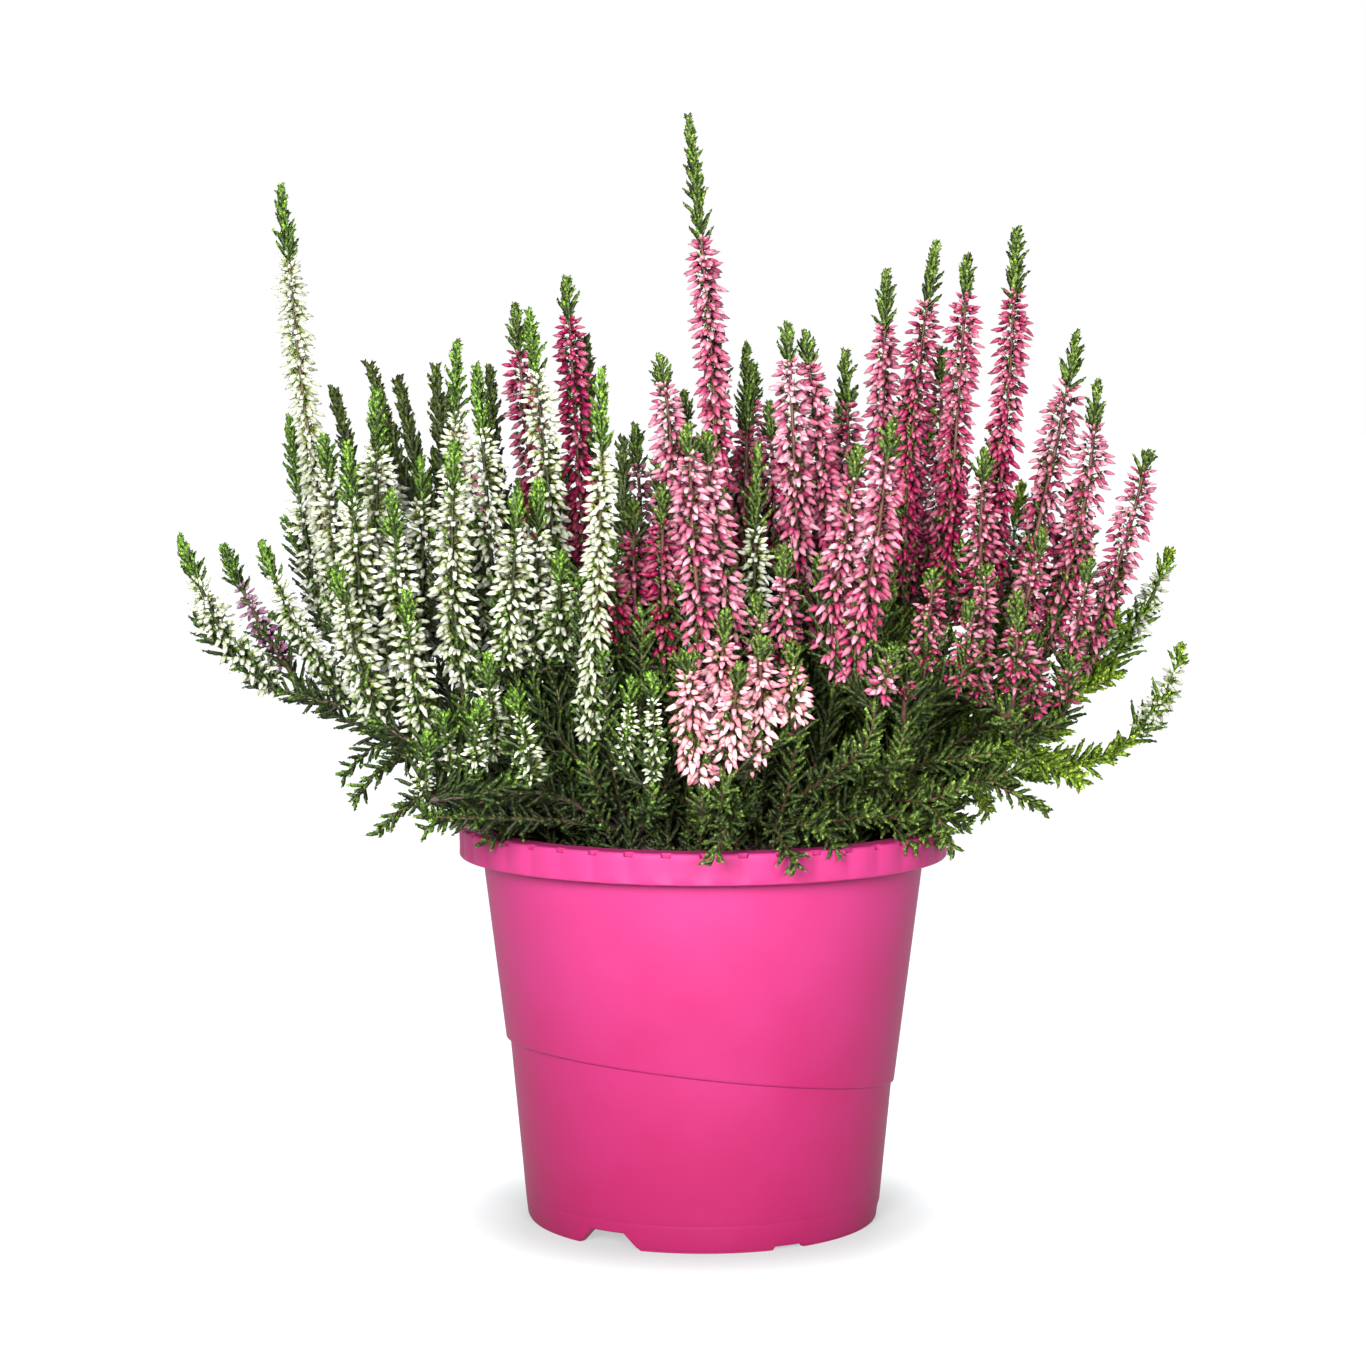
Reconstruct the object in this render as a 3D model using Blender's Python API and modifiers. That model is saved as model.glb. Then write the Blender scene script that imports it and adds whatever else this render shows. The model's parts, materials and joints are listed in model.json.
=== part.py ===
"""Potted heather: several bushy heathers with white and pink flower spikes in a pink plastic pot.

The pot stands on its foot at z = 0 with its axis on the Z axis, and the front of the plant
faces -Y. Lengths in the tables are millimetres; everything built from them is in metres.
"""
import math

import bmesh
import bpy
import numpy as np
from mathutils import Matrix, Vector, noise

MM = 0.001
TOUCH_GAP = 0.0003

# Pot, a moulded polypropylene shell on a hollow foot
POT_HEIGHT = 0.1376
POT_STEPS = 42
RIM_RADIUS = 0.0850
RIM_BAND_HEIGHT = 0.0105
RIM_BAND_WALL = 0.0014
SHELF_THICKNESS = 0.0020
SHOULDER_RADIUS = 0.0778
MOUTH_RADIUS = 0.0755
STEP_HEIGHT = 0.0548
STEP_RADIUS_ABOVE = 0.0677
STEP_RADIUS_BELOW = 0.0666
STEP_TILT = 0.0094
STEP_HIGH_SIDE = math.radians(-55.0)
FOOT_RADIUS = 0.0614
FOOT_RING_WIDTH = 0.0030
FLOOR_UNDERSIDE = 0.0057
FLOOR_TOP = 0.0072
FLOOR_RADIUS = 0.0606
INNER_BEND_HEIGHT = 0.0660
INNER_BEND_RADIUS = 0.0654
RIM_DENTS = 42
DENT_WIDTH = 0.0028
DENT_REACH = 0.0023
DENT_DEPTH = 0.0014
FOOT_NOTCH_WIDTH = 0.0185
FOOT_NOTCH_HEIGHT = 0.0055
FOOT_NOTCH_TURN = math.radians(-32.0)
FOOT_GAP_WIDTH = 0.0110
FOOT_GAP_HEIGHT = 0.0014
FOOT_GAP_TURN = math.radians(28.0)
DRAIN_HOLES = 4
DRAIN_HOLE_RADIUS = 0.0045
DRAIN_CIRCLE_RADIUS = 0.0400

# Peat root ball, which fills the pot to a finger's width under the rim
PEAT_TOP = 0.1260
PEAT_STEPS = 22
PEAT_WALL_GAP = 0.0006
PEAT_CRUMB = 0.0018
STEM_HOLE_DEPTH = 0.0200

# Plants: where each woody stem leaves the peat, in mm, and how high its crown sits
STEM_RADIUS = 0.0032
CROWN_RADIUS = 0.0075
CROWN_HEIGHT = 141.0
PLANTS = {
    "white_left": (-46, -10),
    "white_front": (-24, -46),
    "pink_back_left": (-30, 34),
    "pink_front": (20, -46),
    "pink_back": (8, 44),
    "pink_right": (52, -12),
    "white_right": (46, 30),
}

# Twigs and leaves, in mm
TWIG_RADIUS = 1.1
TWIG_SIDES = 4
LEAF_REACH = 8.0
LEAF_CORE = 2.0
LEAF_LIFT = 3.4
LEAF_STEP = 13.5
TIP_REACH = 2.7
TIP_CORE = 1.7
TIP_POINT = 0.8
LEAF_SHARE = 1.6
TWIG_LEAFY_FROM = 0.34
SHOOT_LEAFY_FROM = 0.25
TWIG_RISES = (10.0, 18.0, 2.0, 26.0, -4.0, 34.0, 42.0)
SHOOT_SHIFTS = [(x, y, 0.0) for y in (0, 6, -6, 12, -12, 18, -18) for x in (0, 4, -4, 8, -8)]
LEAF_TWIST = 0.5
DEPTH_SHIFTS = [0.0] + [side * 2.5 * k for k in range(1, 14) for side in (1, -1)]
OUTWARD_SHIFTS = [1.0 + 0.012 * k for k in range(30)]
SEAT_GAP = 0.3
FOOT_REACH = 5.5
CLEARANCE = 0.7
BALL_STEP = 2.8
RIM_BALL_CIRCLES = (79.0, 83.0)
RIM_BALL_HEIGHT = 135.4
RIM_BALL_RADIUS = 2.6
PEAT_BALL_DEPTH = 4.0
PEAT_BALL_RADIUS = 6.0
OVER_RIM = 62.0
RIM_PASS_HEIGHT = 146.0
PEAT_PASS_HEIGHT = 134.0

# Florets on a spike, in mm
BARE_FOOT = 3.0
FLORET_STEP = 9.7
FLORET_CORE = 0.36
FLORET_DROOP = -1.6
FLORET_TWIST = 0.35
FORK_HEIGHT = 1.2
FORK_STEP = 0.9
SWELL_SHARES = (0.0, 0.2, 0.7, 1.0)
SWELL = (0.72, 1.0, 0.95, 0.66)
SPIKE_SIDES = 6
SLENDER_SIDES = 4
SLENDER_SPIKE = 5.8

# The eye from which the front sizes below were taken, in mm. A place given as (x, z) is where
# the thing shows on the pot's middle plane, and is carried along the line of sight to its depth.
EYE = (-7.0, -1159.0, 280.0)

# Flower sprays: plant, colour, and spikes that grow from one twig, the main one first. A spike
# is tip x, tip z, middle x, middle z, base x, base z, depth of tip, depth of base, half width
# and length of the green tip.
SPRAYS = [
    ("white_left", "white", [
        (-145, 357, -137, 277, -124, 197, -15, -25, 5.5, 27),
        (-143, 279, -138, 240, -129, 202, 4, -12, 3.8, 23)]),
    ("white_left", "white", [
        (-153, 234, -141, 206, -122, 178, -34, -38, 4.2, 12),
        (-181, 236, -166, 203, -142, 180, -52, -46, 3.5, 15)]),
    ("white_left", "mauve", [
        (-166, 233, -154, 207, -140, 186, 4, -8, 3.5, 15)]),
    ("white_left", "white", [
        (-113, 288, -113, 249, -115, 197, -30, -30, 5.2, 19),
        (-131, 272, -127, 235, -122, 203, -42, -38, 4.5, 13)]),
    ("white_left", "white", [
        (-123, 269, -120, 231, -117, 192, -62, -56, 6.6, 21),
        (-108, 252, -106, 225, -104, 196, -66, -60, 5.2, 16)]),
    ("white_left", "white", [
        (-98, 263, -97, 228, -99, 195, -8, -12, 4.9, 14),
        (-115, 264, -113, 231, -110, 202, 4, -4, 4.5, 15)]),
    ("white_front", "white", [
        (-78, 297, -74, 238, -70, 180, -30, -34, 6.6, 22),
        (-85, 304, -86, 248, -86, 197, -22, -26, 5.5, 25)]),
    ("white_front", "white", [
        (-86, 269, -87, 228, -84, 183, -64, -60, 4.9, 14),
        (-64, 252, -66, 221, -70, 190, -62, -58, 5.2, 12)]),
    ("white_front", "white", [
        (-103, 218, -101, 192, -97, 166, -84, -80, 6.2, 11),
        (-127, 226, -120, 195, -110, 168, -80, -76, 6.9, 11)]),
    ("white_front", "white", [
        (-75, 195, -74, 180, -71, 160, -92, -86, 4.5, 9),
        (-66, 184, -62, 166, -59, 148, -104, -100, 4.9, 9),
        (-77, 180, -79, 167, -80, 152, -104, -100, 4.2, 7),
        (-90, 175, -89, 165, -87, 152, -96, -92, 3.5, 5),
        (-96, 168, -97, 157, -98, 145, -104, -100, 3.8, 6)]),
    ("white_front", "white", [
        (-35, 295, -36, 235, -40, 165, -88, -85, 7.3, 25)]),
    ("white_front", "white", [
        (-57, 256, -58, 225, -59, 190, -62, -60, 5.9, 14),
        (-49, 230, -50, 211, -49, 192, -76, -70, 5.2, 9)]),
    ("white_front", "white", [
        (-18, 189, -17, 169, -17, 150, -102, -96, 4.2, 7),
        (-25, 187, -26, 170, -28, 153, -92, -90, 3.8, 7)]),
    ("white_front", "white", [
        (-60, 314, -55, 269, -50, 217, -8, -14, 4.2, 21)]),
    ("pink_back_left", "light", [
        (-65, 317, -60, 266, -53, 209, 14, 10, 4.5, 15),
        (-47, 326, -44, 273, -42, 222, 28, 20, 4.2, 13)]),
    ("pink_back", "light", [
        (-15, 299, -11, 266, -13, 214, 10, 6, 4.5, 10),
        (-7, 287, -5, 256, -4, 226, 20, 14, 4.2, 9)]),
    ("pink_front", "deep", [
        (-14, 254, -14, 225, -13, 190, -60, -54, 4.9, 11),
        (-24, 249, -24, 221, -22, 198, -48, -46, 4.9, 10),
        (-31, 236, -31, 214, -28, 196, -58, -54, 4.2, 8)]),
    ("pink_front", "light", [
        (-5, 275, -3, 228, 3, 180, -86, -82, 6.2, 8),
        (1, 274, 4, 237, 10, 199, -76, -74, 4.5, 7)]),
    ("pink_back", "light", [
        (-5, 381, 3, 297, 7, 207, -10, -12, 5.9, 41)]),
    ("pink_back", "deep", [
        (15, 303, 15, 266, 13, 221, 20, 14, 4.5, 30),
        (23, 284, 24, 256, 24, 232, 30, 26, 4.2, 11)]),
    ("pink_front", "white", [
        (19, 269, 18, 235, 17, 194, -46, -46, 5.2, 28),
        (7, 253, 6, 225, 6, 202, -52, -48, 5.2, 25)]),
    ("pink_front", "light", [
        (29, 310, 32, 252, 33, 195, -30, -34, 5.5, 11),
        (35, 308, 41, 259, 45, 214, -20, -24, 4.9, 10)]),
    ("pink_front", "light", [
        (28, 233, 28, 212, 28, 188, -64, -62, 4.9, 9),
        (19, 216, 19, 202, 19, 188, -74, -70, 4.5, 8)]),
    ("pink_front", "pale", [
        (-5, 195, -4, 171, 0, 150, -106, -102, 5.9, 6),
        (8, 211, 6, 188, 5, 166, -94, -90, 5.2, 9)]),
    ("pink_front", "pale", [
        (20, 202, 20, 183, 19, 160, -98, -92, 5.5, 7),
        (13, 192, 10, 173, 9, 155, -110, -104, 5.2, 7),
        (31, 199, 31, 183, 30, 164, -88, -84, 5.2, 7)]),
    ("pink_front", "light", [
        (65, 276, 60, 235, 50, 182, -96, -88, 7.6, 10),
        (54, 269, 49, 235, 44, 204, -84, -80, 5.2, 10),
        (67, 200, 64, 190, 60, 178, -112, -106, 4.2, 5)]),
    ("pink_back", "deep", [
        (49, 301, 50, 266, 49, 216, 16, 12, 4.5, 19),
        (40, 289, 40, 259, 41, 228, 8, 6, 4.2, 12)]),
    ("pink_back", "light", [
        (63, 328, 62, 276, 62, 211, 24, 18, 4.9, 18),
        (70, 291, 71, 262, 71, 232, 36, 30, 4.2, 9)]),
    ("pink_right", "light", [
        (80, 338, 73, 283, 69, 211, 4, 0, 4.5, 20),
        (82, 303, 82, 268, 80, 232, 14, 8, 4.5, 10)]),
    ("pink_right", "light", [
        (91, 333, 88, 283, 83, 206, -24, -25, 6.2, 12),
        (97, 266, 96, 240, 95, 216, -34, -32, 4.5, 9)]),
    ("pink_right", "light", [
        (108, 343, 105, 283, 98, 206, -10, -14, 5.9, 22)]),
    ("pink_right", "light", [
        (129, 307, 122, 269, 108, 206, 4, -2, 5.5, 17),
        (130, 257, 126, 236, 119, 214, 20, 12, 4.5, 9)]),
    ("pink_right", "light", [
        (136, 290, 132, 249, 118, 194, -16, -18, 5.5, 15),
        (118, 240, 114, 222, 109, 202, -32, -28, 4.5, 8)]),
    ("pink_right", "light", [
        (154, 266, 144, 228, 128, 187, -10, -14, 5.5, 7),
        (134, 229, 131, 211, 127, 196, -30, -26, 4.5, 8)]),
    ("pink_right", "light", [
        (80, 225, 78, 204, 76, 177, -72, -68, 5.9, 4),
        (92, 214, 92, 199, 89, 186, -76, -74, 4.5, 5),
        (72, 192, 70, 181, 69, 170, -96, -90, 3.5, 4)]),
    ("pink_right", "light", [
        (98, 226, 97, 207, 94, 180, -56, -54, 4.5, 4),
        (109, 218, 109, 199, 107, 176, -60, -56, 5.2, 12),
        (115, 204, 115, 186, 112, 166, -42, -42, 4.5, 5),
        (127, 195, 126, 183, 124, 170, -38, -36, 4.2, 4)]),
    ("white_right", "white", [
        (162, 232, 153, 211, 138, 189, 42, 34, 3.8, 12),
        (144, 212, 139, 199, 131, 188, 22, 22, 3.5, 10)]),
    ("white_right", "white", [
        (166, 199, 161, 182, 148, 166, 60, 50, 3.5, 10)]),
]

# Sprays on the back half, which the front view hides: plant, colour, base x, base y, height of
# the main tip and number of spikes, in mm. Their spikes lean away from the pot's axis.
BACK_SPRAYS = [
    ("white_left", "white", -98, 30, 276, 3),
    ("white_left", "white", -118, 58, 246, 2),
    ("pink_back_left", "light", -74, 54, 286, 3),
    ("pink_back_left", "deep", -48, 84, 272, 2),
    ("pink_back_left", "light", -86, 90, 240, 2),
    ("pink_back", "light", -20, 58, 276, 2),
    ("pink_back", "light", -10, 100, 244, 3),
    ("pink_back", "deep", 14, 74, 296, 2),
    ("pink_back", "light", 42, 64, 288, 2),
    ("pink_back", "pale", 34, 104, 238, 2),
    ("white_right", "white", 72, 72, 284, 3),
    ("white_right", "white", 80, 99, 232, 2),
    ("white_right", "white", 104, 50, 250, 3),
]
BACK_BASE_HEIGHT = 192.0
BACK_LEAN = 0.22
BACK_BOW = 2.0
BACK_DROPS = (0.0, 22.0, 34.0)
BACK_SWAYS = (0.0, 15.0, -15.0)
BACK_FORK_RISE = 12.0
BACK_HALF_WIDTH = 5.0
SIDE_SPIKE_LESS = 0.6
BACK_GREEN_TIP = 14

# Shoots that carry no flowers: plant, then points from the twig's leafless part to the tip,
# as true places in mm. The first point only bends the twig.
GREEN_SHOOTS = [
    ("pink_back_left", [(-84, 48, 190), (-119, 58, 236), (-134, 62, 288)]),
    ("pink_back_left", [(-70, 30, 195), (-104, 40, 250), (-119, 46, 296)]),
    ("pink_back_left", [(-66, 30, 195), (-97, 40, 245), (-109, 46, 291)]),
    ("pink_back_left", [(-58, 30, 195), (-88, 34, 245), (-95, 38, 295)]),
    ("pink_back_left", [(-50, 34, 195), (-72, 40, 245), (-76, 44, 295)]),
    ("pink_back", [(-24, 36, 195), (-38, 42, 250), (-42, 46, 306)]),
    ("pink_back", [(-12, 30, 195), (-27, 30, 235), (-28, 32, 270)]),
    ("white_left", [(-86, -28, 166), (-106, -42, 162), (-117, -50, 151)]),
    ("white_left", [(-84, 4, 168), (-112, 8, 165), (-126, 10, 153)]),
    ("white_front", [(-66, -64, 158), (-94, -74, 154), (-106, -80, 144)]),
    ("white_front", [(-50, -74, 156), (-74, -84, 154), (-90, -92, 146)]),
    ("pink_front", [(12, -70, 152), (8, -88, 149), (2, -104, 138)]),
    ("pink_right", [(68, -38, 155), (76, -54, 149), (82, -64, 136)]),
    ("pink_right", [(82, -24, 158), (102, -34, 153), (115, -40, 146)]),
    ("white_right", [(84, 14, 160), (108, 6, 162), (132, -2, 152)]),
    ("white_right", [(88, 30, 168), (122, 26, 176), (146, 20, 188)]),
    ("white_right", [(84, 60, 158), (98, 84, 148), (108, 98, 130)]),
    ("pink_back", [(8, 82, 154), (4, 100, 146), (2, 116, 128)]),
    ("pink_back_left", [(-54, 72, 156), (-66, 92, 148), (-74, 106, 130)]),
]

COLOURS = {
    "pot_plastic": ((0.90, 0.10, 0.30, 1.0), 0.38),
    "peat": ((0.030, 0.018, 0.012, 1.0), 0.95),
    "leafy_stems": ((0.095, 0.170, 0.035, 1.0), 0.60),
    "white": ((0.84, 0.86, 0.78, 1.0), 0.55),
    "pale": ((0.88, 0.62, 0.66, 1.0), 0.55),
    "light": ((0.76, 0.26, 0.42, 1.0), 0.55),
    "mauve": ((0.48, 0.16, 0.30, 1.0), 0.55),
    "deep": ((0.48, 0.04, 0.16, 1.0), 0.55),
}


def remove_all_objects():
    """Empty the scene."""
    for obj in list(bpy.data.objects):
        bpy.data.objects.remove(obj, do_unlink=True)


def new_collection(name):
    """A collection in the scene."""
    collection = bpy.data.collections.new(name)
    bpy.context.scene.collection.children.link(collection)
    return collection


def material(slot):
    """The Principled material of a slot in COLOURS, made once."""
    found = bpy.data.materials.get(slot)
    if found:
        return found
    made = bpy.data.materials.new(slot)
    made.use_nodes = True
    shader = made.node_tree.nodes["Principled BSDF"]
    colour, roughness = COLOURS[slot]
    shader.inputs["Base Color"].default_value = colour
    shader.inputs["Roughness"].default_value = roughness
    shader.inputs["Metallic"].default_value = 0.0
    return made


def object_from_bmesh(name, bm, collection, slot=None):
    """Turn a bmesh into an object in the collection."""
    mesh = bpy.data.meshes.new(name)
    bm.to_mesh(mesh)
    bm.free()
    obj = bpy.data.objects.new(name, mesh)
    collection.objects.link(obj)
    if slot:
        mesh.materials.append(material(slot))
    return obj


def turned(name, profile, steps, collection, slot):
    """A closed turned solid: the profile of (radius, height) spun about Z by a Screw modifier."""
    mesh = bpy.data.meshes.new(name)
    points = [(radius, 0.0, height) for radius, height in profile]
    edges = [(i, i + 1) for i in range(len(points) - 1)]
    mesh.from_pydata(points, edges, [])
    obj = bpy.data.objects.new(name, mesh)
    collection.objects.link(obj)
    screw = obj.modifiers.new("turn", "SCREW")
    screw.axis = "Z"
    screw.steps = steps
    screw.render_steps = steps
    screw.use_merge_vertices = True
    screw.merge_threshold = 0.00001
    apply_modifiers(obj)
    obj.data.materials.append(material(slot))
    return obj


def apply_modifiers(obj):
    """Replace the object's mesh by its evaluated mesh."""
    depsgraph = bpy.context.evaluated_depsgraph_get()
    made = bpy.data.meshes.new_from_object(obj.evaluated_get(depsgraph))
    obj.modifiers.clear()
    obj.data = made


def as_cutter(obj):
    """Mark an object as a guide that is not part of the model."""
    obj.hide_render = True
    obj.display_type = "WIRE"
    return obj


def boolean(obj, operation, collection, solver="EXACT"):
    """Add a Boolean with every object of a collection."""
    cut = obj.modifiers.new(operation.lower(), "BOOLEAN")
    cut.operation = operation
    cut.operand_type = "COLLECTION"
    cut.collection = collection
    cut.solver = solver


def is_closed(mesh):
    """True where every edge of the mesh has two faces."""
    bm = bmesh.new()
    bm.from_mesh(mesh)
    closed = all(len(edge.link_faces) == 2 for edge in bm.edges)
    bm.free()
    return closed


def keep_largest_body(obj):
    """Drop loose scraps, so that the mesh is one closed body."""
    bm = bmesh.new()
    bm.from_mesh(obj.data)
    unseen = set(bm.verts)
    bodies = []
    while unseen:
        stack = [unseen.pop()]
        body = [stack[0]]
        while stack:
            for edge in stack.pop().link_edges:
                for vert in edge.verts:
                    if vert in unseen:
                        unseen.remove(vert)
                        stack.append(vert)
                        body.append(vert)
        bodies.append(body)
    bodies.sort(key=len)
    scraps = [vert for body in bodies[:-1] for vert in body]
    bmesh.ops.delete(bm, geom=scraps, context="VERTS")
    bm.to_mesh(obj.data)
    bm.free()


def fuse(name, pieces, collection, slot):
    """Join pieces that grow into each other into one closed solid."""
    first = pieces[0]
    if len(pieces) > 1:
        others = new_collection(name + ".repeats")
        for piece in pieces[1:]:
            collection.objects.unlink(piece)
            others.objects.link(piece)
        alone = first.data
        boolean(first, "UNION", others)
        apply_modifiers(first)
        if not is_closed(first.data):
            first.data = alone
            boolean(first, "UNION", others, "MANIFOLD")
            apply_modifiers(first)
        for piece in list(others.objects):
            bpy.data.objects.remove(piece, do_unlink=True)
        bpy.data.collections.remove(others)
        keep_largest_body(first)
    first.name = name
    first.data.name = name
    first.data.materials.clear()
    first.data.materials.append(material(slot))
    return first


def cutter_box(size, location, turn, collection):
    """A box cutter, turned about Z."""
    bm = bmesh.new()
    bmesh.ops.create_cube(bm, size=1.0)
    place = Matrix.Rotation(turn, 4, "Z") @ Matrix.Translation(location)
    bmesh.ops.transform(bm, matrix=place @ Matrix.Diagonal((*size, 1.0)), verts=bm.verts)
    return as_cutter(object_from_bmesh("cutter", bm, collection))


def cutter_cylinder(radius, height, location, sides, collection, tilt=None):
    """A cylinder cutter, standing unless it is tilted."""
    bm = bmesh.new()
    bmesh.ops.create_cone(
        bm, cap_ends=True, segments=sides, radius1=radius, radius2=radius, depth=height
    )
    place = Matrix.Translation(location) @ (tilt or Matrix.Identity(4))
    bmesh.ops.transform(bm, matrix=place, verts=bm.verts)
    return as_cutter(object_from_bmesh("cutter", bm, collection))


def pot_profile():
    """The pot's section from the middle of its floor, up inside, over the rim and down outside."""
    top = POT_HEIGHT
    round_edge = 0.0005
    band_inside = RIM_RADIUS - RIM_BAND_WALL
    band_foot = top - RIM_BAND_HEIGHT
    shelf_under = top - SHELF_THICKNESS
    return [
        (0.0, FLOOR_TOP),
        (FLOOR_RADIUS, FLOOR_TOP),
        (INNER_BEND_RADIUS, INNER_BEND_HEIGHT),
        (MOUTH_RADIUS, top),
        (RIM_RADIUS - round_edge, top),
        (RIM_RADIUS, top - round_edge),
        (RIM_RADIUS, band_foot),
        (band_inside, band_foot),
        (band_inside, shelf_under),
        (SHOULDER_RADIUS, shelf_under),
        (STEP_RADIUS_ABOVE, STEP_HEIGHT + round_edge),
        (STEP_RADIUS_BELOW, STEP_HEIGHT - round_edge),
        (FOOT_RADIUS, round_edge * 2),
        (FOOT_RADIUS - round_edge, 0.0),
        (FOOT_RADIUS - FOOT_RING_WIDTH, 0.0),
        (FOOT_RADIUS - FOOT_RING_WIDTH, FLOOR_UNDERSIDE),
        (0.0, FLOOR_UNDERSIDE),
    ]


def slant_step(obj):
    """Tilt the step line round the pot's body, and keep it on the body's cone."""
    upper_slope = (SHOULDER_RADIUS - STEP_RADIUS_ABOVE) / (POT_HEIGHT - STEP_HEIGHT)
    lower_slope = (STEP_RADIUS_BELOW - FOOT_RADIUS) / STEP_HEIGHT
    for vert in obj.data.vertices:
        x, y, z = vert.co
        radius = math.hypot(x, y)
        if abs(z - STEP_HEIGHT) > 0.001 or radius < STEP_RADIUS_BELOW - 0.0005:
            continue
        turn = math.atan2(x, -y)
        rise = STEP_TILT * math.cos(turn - STEP_HIGH_SIDE)
        slope = upper_slope if z > STEP_HEIGHT else lower_slope
        grow = (radius + rise * slope) / radius
        vert.co = (x * grow, y * grow, z + rise)


def make_pot(parts, cutters):
    """The pot, with its rim dents, foot notches and drain holes cut out."""
    pot = turned("pot", pot_profile(), POT_STEPS, parts, "pot_plastic")
    slant_step(pot)
    for i in range(RIM_DENTS):
        turn = i * math.tau / RIM_DENTS
        size = (DENT_WIDTH, DENT_REACH * 2, DENT_DEPTH * 2)
        cutter_box(size, (0.0, -RIM_RADIUS, POT_HEIGHT), turn, cutters)
    middle_radius = FOOT_RADIUS - FOOT_RING_WIDTH / 2
    for k in range(3):
        for turn, width, height in (
            (FOOT_NOTCH_TURN, FOOT_NOTCH_WIDTH, FOOT_NOTCH_HEIGHT),
            (FOOT_GAP_TURN, FOOT_GAP_WIDTH, FOOT_GAP_HEIGHT),
        ):
            size = (width, FOOT_RING_WIDTH * 5, height * 2)
            cutter_box(size, (0.0, -middle_radius, 0.0), turn + k * math.tau / 3, cutters)
    for i in range(DRAIN_HOLES):
        turn = (i + 0.5) * math.tau / DRAIN_HOLES
        place = Vector((math.cos(turn), math.sin(turn), 0.0)) * DRAIN_CIRCLE_RADIUS
        place.z = (FLOOR_TOP + FLOOR_UNDERSIDE) / 2
        cutter_cylinder(DRAIN_HOLE_RADIUS, 0.006, place, 6, cutters)
    boolean(pot, "DIFFERENCE", cutters)
    apply_modifiers(pot)
    pot.data.shade_smooth()
    pot.data.set_sharp_from_angle(angle=math.radians(35.0))
    return pot


def inner_radius(height):
    """Radius of the pot's inner wall at a height, to the flats of its sides."""
    heights = (FLOOR_TOP, INNER_BEND_HEIGHT, POT_HEIGHT)
    radii = (FLOOR_RADIUS, INNER_BEND_RADIUS, MOUTH_RADIUS)
    return float(np.interp(height, heights, radii)) * math.cos(math.pi / POT_STEPS)


def make_peat(parts, cutters):
    """The root ball, with a crumbly top and a plain hole for each plant's stem."""
    edge = inner_radius(PEAT_TOP) - PEAT_WALL_GAP
    bend = inner_radius(INNER_BEND_HEIGHT) - PEAT_WALL_GAP
    base = inner_radius(FLOOR_TOP) - PEAT_WALL_GAP
    profile = [(0.0, PEAT_TOP)]
    profile += [(edge * share, PEAT_TOP) for share in (0.35, 0.7)]
    profile += [
        (edge * 0.95, PEAT_TOP),
        (edge - 0.0005, PEAT_TOP - 0.004),
        (bend, INNER_BEND_HEIGHT),
        (base, FLOOR_TOP + TOUCH_GAP),
        (0.0, FLOOR_TOP + TOUCH_GAP),
    ]
    peat = turned("peat_root_ball", profile, PEAT_STEPS, parts, "peat")
    for vert in peat.data.vertices:
        if vert.co.z > PEAT_TOP - 0.0001:
            vert.co.z += PEAT_CRUMB * noise.noise(vert.co * 70.0)
    for x, y in PLANTS.values():
        place = (x * MM, y * MM, PEAT_TOP)
        cutter_cylinder(STEM_RADIUS + TOUCH_GAP, STEM_HOLE_DEPTH * 2, place, 6, cutters)
    boolean(peat, "DIFFERENCE", cutters)
    apply_modifiers(peat)
    return peat


def on_sight(x, z, depth):
    """Carry a front-view place along the line of sight to a depth, in mm."""
    grow = (depth - EYE[1]) / -EYE[1]
    return (EYE[0] + (x - EYE[0]) * grow, depth, EYE[2] + (z - EYE[2]) * grow)


def smooth_curve(points):
    """A Catmull-Rom curve through the points, drawn closely, and the run along it."""
    pts = np.array(points, float)
    pts = np.vstack([2 * pts[0] - pts[1], pts, 2 * pts[-1] - pts[-2]])
    dense = []
    for a, b, c, d in zip(pts, pts[1:], pts[2:], pts[3:]):
        for t in np.linspace(0.0, 1.0, 20, endpoint=False):
            bend = (2 * a - 5 * b + 4 * c - d) * t * t + (3 * b - a - 3 * c + d) * t ** 3
            dense.append(0.5 * (2 * b + (c - a) * t + bend))
    dense.append(pts[-2])
    dense = np.array(dense)
    run = np.concatenate([[0.0], np.cumsum(np.linalg.norm(np.diff(dense, axis=0), axis=1))])
    return dense, run


def stations_along(curve, bare, step):
    """Points along a curve: its foot, the end of its bare stretch, then about a step apart."""
    dense, run = curve
    count = max(2, int(round((run[-1] - bare) / step)))
    marks = np.concatenate([[0.0], np.linspace(bare, run[-1], count + 1)])
    path = np.column_stack([np.interp(marks, run, dense[:, axis]) for axis in range(3)])
    return path, marks


def path_frames(path, seat_direction=None):
    """Tangent and two side directions at each point, carried along without twisting."""
    tangents = np.gradient(path, axis=0)
    tangents /= np.linalg.norm(tangents, axis=1)[:, None]
    if seat_direction is not None:
        tangents[-1] = seat_direction
    side = np.cross((0.0, 1.0, 0.0), tangents[0])
    sides = []
    for tangent in tangents:
        side = side - tangent * np.dot(side, tangent)
        side = side / np.linalg.norm(side)
        sides.append(side)
    sides = np.array(sides)
    return tangents, sides, np.cross(tangents, sides)


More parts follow.
